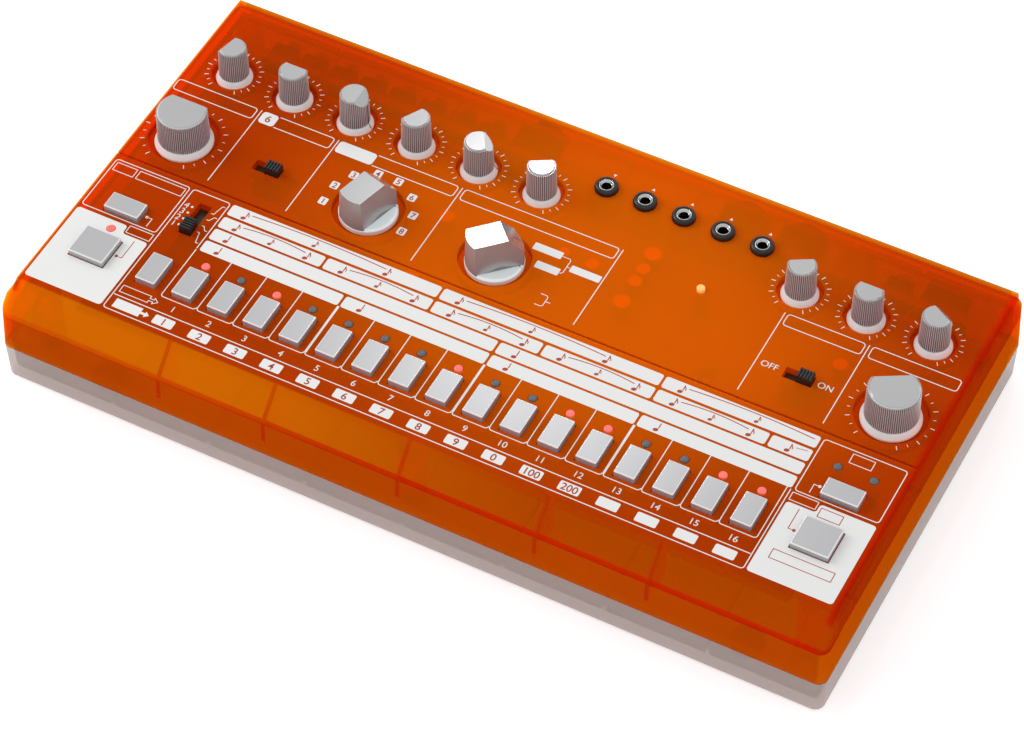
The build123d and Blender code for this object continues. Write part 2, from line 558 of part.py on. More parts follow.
def io_board():
    z0, z1 = IO_BOARD_LOW_Z, IO_BOARD_TOP_Z
    board = block(-IO_BOARD_HALF_X, IO_BOARD_HALF_X, IO_BOARD_FRONT_Y, IO_BOARD_REAR_Y, z0, z1)
    return board - [post(x, y, SCREW_R + SCREW_CLEAR, z0 - PAST, z1 + PAST) for x, y in IO_SCREWS]


def board_link():
    return block_at(LINK_X, IO_SCREW_Y, *LINK, IO_BOARD_TOP_Z, BOARD_LOW_Z)


def screw(x, y, z, way, length):
    """A screw whose head rests at height z, with its shank reaching length the way it is driven."""
    head = post(x, y, SCREW_HEAD_R, min(z, z - way * SCREW_HEAD), max(z, z - way * SCREW_HEAD))
    return head + post(x, y, SCREW_R, min(z, z + way * length), max(z, z + way * length))


def board_screws():
    length = BOARD + SCREW_BITE - SCREW_END_GAP
    screws = [screw(x, y, BOARD_LOW_Z, 1, length) for x, y in BOARD_SCREWS]
    return screws + [screw(x, y, IO_BOARD_TOP_Z, -1, SCREW_BITE - SCREW_END_GAP) for x, y in IO_SCREWS]


def case_screws():
    length = CASE_SCREW_SEAT + SCREW_BITE - SCREW_END_GAP
    return [screw(x, y, SEAM_Z - CASE_SCREW_SEAT, 1, length) for x, y in CASE_SCREWS]


def capacitors():
    top_z = BOARD_TOP_Z + CAPACITOR_HEIGHT
    return [post(SMALL_KNOBS[knob] + dx, SMALL_KNOB_Y + dy, r, BOARD_TOP_Z, top_z)
            for knob, dx, dy, r in CAPACITORS]


# ---- knobs, potentiometers and rotary switches ----
def turning_switches(places, size):
    """Bodies on the main board, each with a bearing for a shaft in its top."""
    bodies = []
    for x, y in places:
        bearing = post(x, y, SHAFT_R + SHAFT_PLAY, POT_TOP_Z - SHAFT_SINK - PANEL_GAP, POT_TOP_Z + PAST)
        bodies.append(block_at(x, y, *size, BOARD_TOP_Z, POT_TOP_Z) - bearing)
    return bodies


def fluted(r, flutes, z):
    """A fluted outline with its ridges at radius r, at height z."""
    points = []
    for i in range(2 * flutes):
        radius = r if i % 2 else r - FLUTE_DEPTH
        angle = math.pi * i / flutes
        points.append((radius * math.cos(angle), radius * math.sin(angle)))
    return Plane.XY.offset(z) * make_face(Polyline(*points, close=True))


def facet_cut(chord, top_z, half_width):
    """The wedge above a sloping pointer facet that faces +Y."""
    drop = FACET_RUN * math.tan(math.radians(FACET_SLOPE))
    outline = Polyline((chord, top_z), (chord + FACET_RUN, top_z - drop), (chord + FACET_RUN, top_z + PAST),
                       (chord, top_z + PAST), close=True)
    return extrude(make_face(Plane.YZ * outline), amount=half_width, both=True)


def shaft(x, y):
    return post(x, y, SHAFT_R, POT_TOP_Z - SHAFT_SINK, DECK_Z + H_SKIRT_LOW + SHAFT_IN_KNOB)


def mounted(cap, x, y, angle):
    """A knob cap turned to its pointer angle, bored for its shaft and set on it."""
    bore = post(0, 0, SHAFT_R, H_SKIRT_LOW - PAST, H_SKIRT_LOW + SHAFT_IN_KNOB)
    return [Pos(x, y, DECK_Z) * Rot(0, 0, -angle) * (cap - bore), shaft(x, y)]


def fluted_knob(skirt_r, body_r, top_r, chord, flutes):
    """A fluted cap on a flared skirt, with a sloping pointer facet that faces +Y."""
    flute_top = KNOB_HEIGHT - KNOB_CROWN
    body = loft([fluted(body_r, flutes, 0), fluted(top_r, flutes, flute_top)], ruled=True)
    crown_r = top_r - FLUTE_DEPTH
    body += turned((0, flute_top - PAST), (crown_r, flute_top - PAST), (crown_r, flute_top),
                   (crown_r - KNOB_CROWN / 2, KNOB_HEIGHT), (0, KNOB_HEIGHT))
    body -= facet_cut(chord, KNOB_HEIGHT, skirt_r)
    return body + turned((0, H_SKIRT_LOW), (skirt_r, H_SKIRT_LOW), (skirt_r, H_SKIRT_RIM),
                         (body_r, H_SKIRT_TOP), (0, H_SKIRT_TOP))


def selector_knob():
    """A bar grip on a round base, with a sloping pointer end that faces +Y."""
    rim = SELECTOR_BASE_R - SELECTOR_RIM
    base = turned((0, H_SKIRT_LOW), (SELECTOR_BASE_R, H_SKIRT_LOW), (SELECTOR_BASE_R, -SELECTOR_RIM),
                  (rim, 0), (0, 0))
    crown_z = SELECTOR_HEIGHT - BAR_CROWN
    halves = ((BAR_FOOT_HALF, -PAST), (BAR_TOP_HALF, crown_z), (BAR_TOP_HALF - BAR_CROWN, SELECTOR_HEIGHT))
    length = 4 * SELECTOR_BASE_R
    bar = loft([Plane.XY.offset(z) * Rectangle(2 * half, length) for half, z in halves], ruled=True)
    bar &= turned((0, -PAST), (BAR_R_LOW, -PAST), (BAR_R_HIGH, crown_z),
                  (BAR_R_HIGH - BAR_CROWN, SELECTOR_HEIGHT), (0, SELECTOR_HEIGHT))
    return base + (bar - facet_cut(SELECTOR_CHORD, SELECTOR_HEIGHT, SELECTOR_BASE_R))


# ---- keys ----
def key(x, y, size_x, size_y):
    """A sprung key: its cap with a flange under the deck and a stem, and its switch's plunger."""
    top_z = DECK_Z + KEY_HEIGHT
    flange_z = ROOF_LOW_Z - KEY_FLANGE_GAP
    foot = Plane.XY.offset(flange_z) * Rectangle(size_x, size_y)
    shoulder = Plane.XY.offset(top_z - KEY_BEVEL) * Rectangle(size_x, size_y)
    crown = Plane.XY.offset(top_z) * Rectangle(size_x - 2 * KEY_BEVEL, size_y - 2 * KEY_BEVEL)
    cap = Pos(x, y, 0) * loft([foot, shoulder, crown], ruled=True)
    flange_low = flange_z - KEY_FLANGE_THICKNESS
    cap += block_at(x, y, size_x + 2 * KEY_FLANGE, size_y + 2 * KEY_FLANGE, flange_low, flange_z)
    cap += block_at(x, y, KEY_STEM, KEY_STEM, PLUNGER_TOP_Z, flange_low)
    return [cap, block_at(x, y, PLUNGER, PLUNGER, SWITCH_TOP_Z - PLUNGER_SINK, PLUNGER_TOP_Z)]


def key_switches():
    side = SWITCH[0]
    socket = PLUNGER + 2 * PLUNGER_PLAY
    depth = PLUNGER_SINK + KEY_TRAVEL + PANEL_GAP
    bodies = []
    for x, y, _, _ in KEYS.values():
        body = block_at(x, y, side, side, BOARD_TOP_Z, SWITCH_TOP_Z)
        bodies.append(body - block_at(x, y, socket, socket, SWITCH_TOP_Z - depth, SWITCH_TOP_Z + PAST))
    return bodies


def leds():
    """Each lamp is a lens on the spacer that lifts it to the deck."""
    side, height = LED_SPACER
    lenses = [post(x, y, LED_R, BOARD_TOP_Z + height, DECK_Z + H_LED) for x, y in LEDS]
    return lenses + [block_at(x, y, side, side, BOARD_TOP_Z, BOARD_TOP_Z + height) for x, y in LEDS]


# ---- slide switches ----
def slide_cap(x, y, dx, dy, size_x, size_y):
    """A ridged cap in its slot, with a dust cover under the deck and a stem down into the switch below."""
    top_z = DECK_Z + SLIDE_CAP_HEIGHT
    flange_z = ROOF_LOW_Z - SLIDE_FLANGE_GAP
    cap = block_at(x, y, size_x, size_y, flange_z, top_z)
    along_x = abs(dx) > abs(dy)
    length, width = (size_x, size_y) if along_x else (size_y, size_x)
    pitch = length / (SLIDE_GRIPS + 1)
    for i in range(SLIDE_GRIPS):
        offset = pitch * (i + 1) - length / 2
        across = width + 2 * SLIDE_GRIP
        size = (SLIDE_GRIP, across) if along_x else (across, SLIDE_GRIP)
        place = (x + offset, y) if along_x else (x, y + offset)
        cap -= block_at(*place, *size, top_z - SLIDE_GRIP, top_z + PAST)
    cover = 2 * (SLIDE_GAP + SLIDE_FLANGE_REACH)
    low_z = flange_z - SLIDE_FLANGE
    cap += block_at(x, y, size_x + 2 * abs(dx) + cover, size_y + 2 * abs(dy) + cover, low_z, flange_z)
    body_top = BOARD_TOP_Z + SLIDE_BODY_HEIGHT
    return cap + block_at(x, y, SLIDE_STEM, SLIDE_STEM, body_top - SLIDE_STEM_SINK, low_z)


def slide_switches():
    top_z = BOARD_TOP_Z + SLIDE_BODY_HEIGHT
    bodies = []
    for x, y, dx, dy, _, _ in SLIDES.values():
        path = (x, y, dx, dy, SLIDE_STEM, SLIDE_STEM)
        body = swept(*path, SLIDE_BODY_WALL, BOARD_TOP_Z, top_z)
        bodies.append(body - swept(*path, SLIDE_GAP, top_z - SLIDE_STEM_SINK - SLIDE_GAP, top_z + PAST))
    return bodies


# ---- jacks and sockets ----
def axis_z(body_height):
    """Height of a rear connector's axis, half its body above the connector board."""
    return IO_BOARD_TOP_Z + body_height / 2


def patch_jacks():
    """Upright jacks on the main board, each with its bush up through the deck."""
    jacks = []
    mouth_z = DECK_Z + H_PATCH_TOP
    for x in PATCH_XS:
        jack = block_at(x, PATCH_Y, MINI_BODY, MINI_BODY, BOARD_TOP_Z, ROOF_LOW_Z - PANEL_GAP)
        jack += post(x, PATCH_Y, MINI_BUSH_R, ROOF_LOW_Z - PAST, mouth_z)
        jacks.append(jack - post(x, PATCH_Y, MINI_BORE_R, mouth_z - MINI_BORE, mouth_z + PAST))
    return jacks


def patch_jack_collars():
    """Round nuts on the deck, with their outer edge bevelled."""
    inner = MINI_BUSH_R + SHAFT_PLAY
    shoulder = COLLAR_HEIGHT - COLLAR_ROUND
    collar = turned((inner, 0), (COLLAR_R, 0), (COLLAR_R, shoulder),
                    (COLLAR_R - COLLAR_ROUND, COLLAR_HEIGHT), (inner, COLLAR_HEIGHT))
    return [Pos(x, PATCH_Y, DECK_Z) * collar for x in PATCH_XS]


def voice_jacks():
    """Small jacks on the connector board, with their bushes through the rear wall."""
    z = axis_z(MINI_BODY)
    half = MINI_BODY / 2
    mouth = rear_face(z) + MINI_PROUD
    back = mouth - MINI_BORE - END_WALL
    jacks = []
    for x in VOICE_XS:
        jack = block(x - half, x + half, back, BODY_FRONT_Y, IO_BOARD_TOP_Z, z + half)
        jack += rod_y(x, z, MINI_BUSH_R, BODY_FRONT_Y - PAST, mouth)
        jacks.append(jack - rod_y(x, z, MINI_BORE_R, mouth - MINI_BORE, mouth + PAST))
    return jacks


def mix_jack():
    """The large output jack and the hexagonal nut that holds it to the rear wall."""
    z = axis_z(MIX_BODY)
    half = MIX_BODY / 2
    jack = block(MIX_X - half, MIX_X + half, MIX_BACK_Y, BODY_FRONT_Y, IO_BOARD_TOP_Z, z + half)
    jack += rod_y(MIX_X, z, MIX_BUSH_R, BODY_FRONT_Y - PAST, MIX_MOUTH_Y)
    jack -= rod_y(MIX_X, z, MIX_BORE_R, MIX_MOUTH_Y - MIX_BORE, MIX_MOUTH_Y + PAST)
    seat = rear_face(IO_BOARD_TOP_Z) + CUT_GAP
    nut = Pos(MIX_X, seat, z) * Rot(90, 0, 0) * extrude(RegularPolygon(MIX_NUT_R, 6), amount=-MIX_NUT)
    return [jack, nut - rod_y(MIX_X, z, MIX_BUSH_R + SHAFT_PLAY, seat - PAST, MIX_MOUTH_Y)]


def midi_sockets():
    """Round five-pole sockets: a block with a round face, cut by the ring that a plug's shield enters."""
    z = axis_z(MIDI_BODY)
    face = rear_face(z)
    half = MIDI_BODY / 2
    sockets = []
    for x in MIDI_XS:
        socket = block(x - half, x + half, BODY_FRONT_Y - MIDI_DEPTH, BODY_FRONT_Y, IO_BOARD_TOP_Z, z + half)
        socket += rod_y(x, z, MIDI_R, BODY_FRONT_Y - PAST, face)
        ring = rod_y(x, z, MIDI_R - MIDI_SHIELD, face - MIDI_SINK, face + PAST)
        ring -= rod_y(x, z, MIDI_CORE_R, face - MIDI_SINK - PAST, face - CORE_SINK)
        sockets.append(socket - ring)
    return sockets


def usb_socket():
    """A square data socket: a shell round a tongue."""
    z = axis_z(USB_SHELL[1])
    face = rear_face(IO_BOARD_TOP_Z)
    half_x, half_z = USB_SHELL[0] / 2, USB_SHELL[1] / 2
    shell = block(USB_X - half_x, USB_X + half_x, face - USB_DEPTH, face, z - half_z, z + half_z)
    mouth_x, mouth_z = USB_MOUTH[0] / 2, USB_MOUTH[1] / 2
    mouth = block(USB_X - mouth_x, USB_X + mouth_x, face - USB_SINK, face + PAST, z - mouth_z, z + mouth_z)
    tongue_x, tongue_z = USB_TONGUE[0] / 2, USB_TONGUE[1] / 2
    back, front = face - USB_SINK - PAST, face - CORE_SINK
    tongue = block(USB_X - tongue_x, USB_X + tongue_x, back, front, z - tongue_z, z + tongue_z)
    return shell - (mouth - tongue)


def dc_socket():
    """A barrel power inlet with its centre pin."""
    z = axis_z(DC_BODY)
    face = rear_face(z)
    half = DC_BODY / 2
    socket = block(DC_X - half, DC_X + half, face - DC_DEPTH, BODY_FRONT_Y, IO_BOARD_TOP_Z, z + half)
    socket += rod_y(DC_X, z, DC_BORE_R + END_WALL / 2, BODY_FRONT_Y - PAST, face)
    pin = rod_y(DC_X, z, DC_PIN_R, face - DC_SINK - PAST, face - CORE_SINK)
    return socket - (rod_y(DC_X, z, DC_BORE_R, face - DC_SINK, face + PAST) - pin)


def rocker_place():
    """The rocker's pivot: depth and height."""
    return rear_face(IO_BOARD_TOP_Z) - ROCKER_PIVOT, axis_z(POWER_FRAME[1])


def power_switch():
    """The frame that the power rocker pivots in."""
    pivot_y, z = rocker_place()
    face = rear_face(IO_BOARD_TOP_Z)
    half_x, half_z = POWER_FRAME[0] / 2, POWER_FRAME[1] / 2
    frame = block(POWER_X - half_x, POWER_X + half_x, face - POWER_DEPTH, face, z - half_z, z + half_z)
    mouth_x, mouth_z = POWER_MOUTH[0] / 2, POWER_MOUTH[1] / 2
    back = face - POWER_SINK
    frame -= block(POWER_X - mouth_x, POWER_X + mouth_x, back, face + PAST, z - mouth_z, z + mouth_z)
    reach = ROCKER[0] / 2 + ROCKER_PIN + SHAFT_PLAY
    return frame - Pos(POWER_X, pivot_y, z) * Rot(0, 90, 0) * Cylinder(ROCKER_PIN_R + SHAFT_PLAY, 2 * reach)


def power_rocker():
    """A rocker with a hollow face and a pin at each side, tilted to its off position."""
    pivot_y, z = rocker_place()
    half_x, half_z = ROCKER[0] / 2, ROCKER[1] / 2
    outline = Polyline((-ROCKER_BACK, -half_z / 2), (0, -half_z), (ROCKER_FRONT, -half_z),
                       (ROCKER_FRONT - ROCKER_HOLLOW, 0), (ROCKER_FRONT, half_z), (0, half_z),
                       (-ROCKER_BACK, half_z / 2), close=True)
    rocker = extrude(make_face(Plane.YZ * outline), amount=half_x, both=True)
    rocker += Rot(0, 90, 0) * Cylinder(ROCKER_PIN_R, 2 * (half_x + ROCKER_PIN))
    return Pos(POWER_X, pivot_y, z) * Rot(ROCKER_TILT, 0, 0) * rocker


# ---- all nodes ----
def nodes():
    made = {
        "top_case": top_case(),
        "bottom_case": bottom_case(),
        "rubber_feet": rubber_feet(),
        "main_board": main_board(),
        "io_board": io_board(),
        "board_link": board_link(),
        "board_screws": board_screws(),
        "case_screws": case_screws(),
        "capacitors": capacitors(),
        "potentiometers": turning_switches(SMALL_PLACES + LARGE_PLACES, POT_BODY),
        "rotary_switches": turning_switches(ROTARY_PLACES, ROTARY_BODY),
        "key_switches": key_switches(),
        "leds": leds(),
        "slide_switches": slide_switches(),
        "patch_jacks": patch_jacks(),
        "patch_jack_collars": patch_jack_collars(),
        "voice_jacks": voice_jacks(),
        "mix_jack": mix_jack(),
        "midi_sockets": midi_sockets(),
        "usb_socket": usb_socket(),
        "dc_socket": dc_socket(),
        "power_switch": power_switch(),
        "power_rocker": power_rocker(),
    }
    small = fluted_knob(SMALL_SKIRT_R, SMALL_BODY_R, SMALL_TOP_R, SMALL_CHORD, SMALL_FLUTES)
    for name, x in SMALL_KNOBS.items():
        made[f"{name}_knob"] = mounted(small, x, SMALL_KNOB_Y, POINTER_ANGLES[name])
    large = fluted_knob(LARGE_SKIRT_R, LARGE_BODY_R, LARGE_TOP_R, LARGE_CHORD, LARGE_FLUTES)
    for name in LARGE_KNOBS:
        made[f"{name}_knob"] = mounted(large, LOWER_KNOBS[name], LOWER_KNOB_Y, POINTER_ANGLES[name])
    grip = selector_knob()
    for name in SELECTORS:
        made[f"{name}_selector"] = mounted(grip, LOWER_KNOBS[name], LOWER_KNOB_Y, POINTER_ANGLES[name])
    for name, place in KEYS.items():
        made[name] = key(*place)
    for name, place in SLIDES.items():
        made[name] = slide_cap(*place)
    return made


# the object's own frame: its origin is under the middle of its bounding box, at the feet
TO_PART = Pos(0, -REAR_PROUD / 2, FOOT_PROUD)

os.makedirs("parts", exist_ok=True)
for node, shape in nodes().items():
    pieces = shape if isinstance(shape, list) else [shape]
    assembly = Compound(children=[Compound(piece.wrapped) for piece in pieces])
    export_step(TO_PART * assembly, f"parts/{node}.step")
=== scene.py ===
import math
from contextlib import contextmanager

import bmesh
import bpy
from bpy.props import FloatProperty, FloatVectorProperty, IntProperty, PointerProperty
from mathutils import Matrix, Vector


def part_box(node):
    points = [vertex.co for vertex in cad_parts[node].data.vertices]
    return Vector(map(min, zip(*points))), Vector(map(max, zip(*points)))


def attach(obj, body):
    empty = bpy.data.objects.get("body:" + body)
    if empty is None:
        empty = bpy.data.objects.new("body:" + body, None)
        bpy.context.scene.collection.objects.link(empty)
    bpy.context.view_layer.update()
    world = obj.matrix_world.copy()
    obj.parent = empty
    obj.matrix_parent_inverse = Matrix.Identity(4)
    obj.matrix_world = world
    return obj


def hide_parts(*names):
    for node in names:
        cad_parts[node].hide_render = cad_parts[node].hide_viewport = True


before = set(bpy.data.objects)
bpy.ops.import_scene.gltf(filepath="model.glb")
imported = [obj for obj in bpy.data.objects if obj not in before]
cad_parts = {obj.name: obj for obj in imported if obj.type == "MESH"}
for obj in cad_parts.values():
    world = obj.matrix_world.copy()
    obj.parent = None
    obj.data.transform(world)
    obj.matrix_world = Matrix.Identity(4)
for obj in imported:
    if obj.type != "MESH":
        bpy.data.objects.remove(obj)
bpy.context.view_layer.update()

bl_info = {
    "name": "Drum Machine",
    "version": (1, 0, 0),
    "blender": (4, 5, 0),
    "location": "View3D > Sidebar > Drum Machine",
    "description": "Knobs, keys, lamps, jacks, print and finishes of a translucent drum machine",
    "category": "Object",
}

MM = 0.001

# the case: its deck, the roof under it, the front slope, the seam, and the front ribs' distances from x = 0
SHELL_LOW, SHELL_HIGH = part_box("top_case")
DECK_Z = SHELL_HIGH.z
SHELL_ROOF_Z = DECK_Z - 3.0 * MM
MIDDLE_Y = (SHELL_LOW.y + SHELL_HIGH.y) / 2
SLOPE_TOP_Y = SHELL_LOW.y + 10.6 * MM
SLOPE_FOOT_Z = DECK_Z - 10.3 * MM
SEAM_Z = DECK_Z - 25.7 * MM
FRONT_RIBS = (0.0, 50.0 * MM, 90.0 * MM)
FRONT_RIB_LOW_Z = DECK_Z - 19.1 * MM

# the controls, by the names of their nodes
SMALL_KNOBS = ("accent", "bass_drum", "snare_drum", "tom", "cymbal", "hi_hat", "distortion", "tone", "level")
LARGE_KNOBS = ("tempo", "volume")
SELECTORS = ("instrument", "mode")
SLIDE_CAPS = ("select_switch_cap", "distortion_switch_cap", "scale_switch_cap")
STEP_KEYS = [f"step_key_{i:02d}" for i in range(1, 17)]
KEYS = STEP_KEYS + ["function_key", "start_stop_key", "write_next_key", "clear_key", "pattern_group_key"]
LIT_STEPS = (1, 3, 8, 11, 12, 15, 16)
KEY_FLANGE = 0.9 * MM
KEY_GAP = 0.35 * MM
COVER_Z = SHELL_ROOF_Z - 0.3 * MM
# the pointers' angles at rest, in degrees clockwise from the rear
POINTER_ANGLES = {
    "accent": -78.0, "bass_drum": 0.0, "snare_drum": 90.0, "tom": -60.0, "cymbal": 60.0, "hi_hat": -30.0,
    "distortion": -30.0, "tone": 0.0, "level": 30.0, "tempo": 0.0, "volume": -30.0, "instrument": 15.0,
    "mode": 45.0,
}


# ---- sizes and colours that a user would change ----
def length(name, description, default):
    return FloatProperty(name=name, description=description, default=default * MM, unit="LENGTH", precision=4)


def colour(name, description, default):
    return FloatVectorProperty(name=name, description=description, default=default, size=3, subtype="COLOR",
                               min=0.0, max=1.0)


def share(name, description, default):
    return FloatProperty(name=name, description=description, default=default, min=0.0, max=1.0,
                         subtype="FACTOR")


class ShellSettings(bpy.types.PropertyGroup):
    """Finish of the two case shells, with painted light and shade in the top shell's orange."""
    # bright and deep: painted light, the deck's lit middle fading to painted shade towards its ends
    bright: colour("Bright orange", "Colour of the deck's middle", (1.0, 0.2, 0.003))
    deep: colour("Deep orange", "Colour towards the ends", (0.62, 0.075, 0.002))
    # slope and shaded: painted light on the sloping front, lit at its left end and shaded towards its right
    slope: colour("Slope orange", "Colour of the left end of the sloping front", (1.0, 0.25, 0.002))
    shaded: colour("Shaded slope", "Colour of the right end of the sloping front", (0.66, 0.095, 0.001))
    # the walls' tones are painted light and shade: painted darker than the deck, and painted lighter on the
    # right wall
    ochre: colour("Ochre", "Colour of the walls", (0.8, 0.13, 0.002))
    far_wall: colour("Right wall", "Colour of the right wall", (0.98, 0.2, 0.002))
    # rim: red of the plastic's thicker parts, also laid on as painted shade along the slope's foot and where
    # the shell turns from the view
    rim: colour("Rim red", "Colour of edges, ribs and bosses", (0.75, 0.03, 0.001))
    absorbed: colour("Through colour", "What passes through the plastic", (1.0, 0.81, 0.0))
    density: FloatProperty(name="Density", description="How fast the plastic takes up light", default=2400.0)
    cover: share("Cover", "How much of the surface hides what is inside", 0.55)
    frost: colour("Frosted base", "Colour of the bottom case", (0.63, 0.565, 0.53))


class SmallKnobSettings(bpy.types.PropertyGroup):
    """Sizes of the small fluted knobs."""
    skirt: length("Skirt radius", "Radius of the flared foot", 6.5)
    foot: length("Foot radius", "Radius of the fluted body at its foot", 5.4)
    top: length("Top radius", "Radius of the fluted body at its top", 5.0)
    chord: length("Facet offset", "Distance from the axis to the pointer facet", 2.0)
    flutes: IntProperty(name="Flutes", description="Flutes round the body", default=46)


class LargeKnobSettings(bpy.types.PropertyGroup):
    """Sizes of the large fluted knobs."""
    skirt: length("Skirt radius", "Radius of the flared foot", 10.3)
    foot: length("Foot radius", "Radius of the fluted body at its foot", 9.2)
    top: length("Top radius", "Radius of the fluted body at its top", 8.87)
    chord: length("Facet offset", "Distance from the axis to the pointer facet", 5.0)
    flutes: IntProperty(name="Flutes", description="Flutes round the body", default=80)


class KnobSettings(bpy.types.PropertyGroup):
    """Sizes that the knobs share."""
    height: length("Height", "Height above the deck", 13.0)
    crown: length("Crown", "Height of the bevelled crown", 0.6)
    flute: length("Flute depth", "Depth of a flute", 0.4)
    low: length("Sunk depth", "How deep the skirt starts below the deck", 2.5)
    rim: length("Skirt rim", "Depth of the skirt's upper rim below the deck", 1.5)
    collar: length("Skirt top", "Height of the skirt's top above the deck", 0.4)
    slope: FloatProperty(name="Facet slope", description="Slope of the pointer facet",
                         default=math.radians(50.0), subtype="ANGLE")
    silver: colour("Silver", "Colour of the knobs' sides", (0.46, 0.455, 0.46))
    # crest and shade: painted light on the flutes' ridges and painted shade in their hollows
    crest: colour("Flute crests", "Colour of the ridges between the flutes", (0.74, 0.73, 0.74))
    shade: colour("Flute shade", "Colour of the flutes", (0.24, 0.235, 0.24))


class KeySettings(bpy.types.PropertyGroup):
    """Finish of the keys."""
    bevel: length("Bevel", "Width of the rounding on a key's edges", 0.38)
    # grey and top: the sides darker and the tops lighter, partly painted shade and light
    grey: colour("Grey", "Colour of the keys' sides", (0.46, 0.46, 0.47))
    top: colour("Top", "Colour of the keys' tops", (0.55, 0.55, 0.56))


class LampSettings(bpy.types.PropertyGroup):
    """Sizes and colours of the lamps."""
    radius: length("Radius", "Radius of a lens", 1.5)
    rise: length("Rise", "Height of a lens above the deck", 0.5)
    amber_rise: length("Amber rise", "Height of the amber lens above the deck", 1.2)
    red: colour("Lit red", "Colour of a lit red lamp", (1.0, 0.11, 0.08))
    amber: colour("Lit amber", "Colour of the lit amber lamp", (1.0, 0.45, 0.08))
    grey: colour("Unlit grey", "Colour of an unlit lamp", (0.13, 0.13, 0.135))


class PrintSettings(bpy.types.PropertyGroup):
    """Sizes and colours of the print on the deck."""
    line: length("Line width", "Width of the printed lines", 0.36)
    thickness: length("Thickness", "Thickness of the ink", 0.015)
    lift: length("Lift", "Gap between the deck and the ink", 0.005)
    white: colour("White", "Colour of the white ink", (0.87, 0.865, 0.86))
    red: colour("Dark red", "Colour of the ink on the white fields", (0.45, 0.05, 0.008))


class StageSettings(bpy.types.PropertyGroup):
    """Camera, lights and floor."""
    azimuth: FloatProperty(name="Azimuth", description="Camera's turn round the object",
                           default=math.radians(27.551), subtype="ANGLE")
    elevation: FloatProperty(name="Elevation", description="Camera's angle above the floor",
                             default=math.radians(50.248), subtype="ANGLE")
    distance: FloatProperty(name="Distance", description="From the camera to what it looks at",
                            default=1.23808, unit="LENGTH")
    look: FloatVectorProperty(name="Look at", description="Point in the middle of the view",
                              default=(0.010075, -0.020865, 0.026), subtype="XYZ")
    lens: FloatProperty(name="Lens", description="Focal length for a 36 mm sensor", default=131.06)
    key_light: FloatProperty(name="Key light", description="Power of the rear light, in watts", default=0.35)
    fill_light: FloatProperty(name="Fill light", description="Power of the side light, in watts", default=7.5)
    sky: FloatProperty(name="Sky", description="Strength of the even light from all sides", default=0.77)


def settings(name):
    """One of this file's groups of settings."""
    return getattr(bpy.context.scene, f"drum_{name}")


# ---- hand modelling ----
def select_only(*objects):
    for other in bpy.context.selected_objects:
        other.select_set(False)
    for obj in objects:
        obj.select_set(True)
    bpy.context.view_layer.objects.active = objects[0]


def just_added(name):
    """The object that an operator has just added, with its place and scale applied."""
    obj = bpy.context.object
    obj.name = obj.data.name = name
    select_only(obj)
    bpy.ops.object.transform_apply(location=True, rotation=True, scale=True)
    return obj


@contextmanager
def edit_mode(obj):
    """Edit mode, with the whole mesh selected at its start."""
    select_only(obj)
    bpy.ops.object.mode_set(mode="EDIT")
    bpy.ops.mesh.select_mode(type="VERT")
    bpy.ops.mesh.select_all(action="SELECT")
    yield
    bpy.ops.object.mode_set(mode="OBJECT")


def pick(obj, kind, test):
    """Selects in edit mode the vertices, edges or faces that pass a test."""
    bpy.ops.mesh.select_mode(type=kind)
    bpy.ops.mesh.select_all(action="DESELECT")
    mesh = bmesh.from_edit_mesh(obj.data)
    mesh.normal_update()
    for element in {"VERT": mesh.verts, "EDGE": mesh.edges, "FACE": mesh.faces}[kind]:
        if test(element):
            element.select_set(True)
    mesh.select_flush_mode()
    bmesh.update_edit_mesh(obj.data)


def resize(x, y, z=1.0):
    """Scales what is selected, about the origin."""
    bpy.ops.transform.resize(value=(x, y, z), center_override=(0.0, 0.0, 0.0))


def extrude(move, scale=1.0):
    """Extrudes what is selected, moves it, and scales it about the Z axis."""
    bpy.ops.mesh.extrude_region_move(TRANSFORM_OT_translate={"value": move})
    if scale != 1.0:
        resize(scale, scale)


def tidy():
    """Merges doubles and turns all faces outwards, in edit mode."""
    bpy.ops.mesh.select_all(action="SELECT")
    bpy.ops.mesh.remove_doubles(threshold=1e-7)
    bpy.ops.mesh.normals_make_consistent(inside=False)


def modify(obj, kind, **values):
    """Adds a modifier and applies it."""
    select_only(obj)
    modifier = obj.modifiers.new(kind.lower(), kind)
    for name, value in values.items():
        setattr(modifier, name, value)
    bpy.ops.object.modifier_apply(modifier=modifier.name)


def rounded(obj, width, segments=2, angle=30.0):
    """Rounds every edge that is sharper than an angle."""
    modify(obj, "BEVEL", width=width, segments=segments, limit_method="ANGLE",
           angle_limit=math.radians(angle))


def smooth(obj, angle=30.0):
    """Smooth shading between faces that meet below an angle, with large faces kept flat."""
    select_only(obj)
    bpy.ops.object.shade_smooth_by_angle(angle=math.radians(angle))
    modify(obj, "WEIGHTED_NORMAL", keep_sharp=True)


def cube(name, low, high):
    """A box between two corners, to be shaped further."""
    low, high = Vector(low), Vector(high)
    bpy.ops.mesh.primitive_cube_add(size=1.0, location=(low + high) / 2, scale=high - low)
    return just_added(name)


def post(name, middle, half, low_z, high_z):
    """A square post round a point, between two heights."""
    return cube(name, (middle.x - half, middle.y - half, low_z), (middle.x + half, middle.y + half, high_z))


def chain(name, points):
    """Edges from point to point."""
    bpy.ops.mesh.primitive_plane_add(size=MM, location=(0.0, 0.0, 0.0))
    obj = just_added(name)
    spots = [Vector(point) for point in points]
    with edit_mode(obj):
        bpy.ops.mesh.merge(type="CENTER")
        bpy.ops.transform.translate(value=spots[0])
        for before, after in zip(spots, spots[1:]):
            extrude(after - before)
    return obj


def outlined(name, points):
    """A face inside a closed outline of points."""
    obj = chain(name, [*points, points[0]])
    with edit_mode(obj):
        bpy.ops.mesh.remove_doubles(threshold=1e-6)
        bpy.ops.mesh.edge_face_add()
    return obj


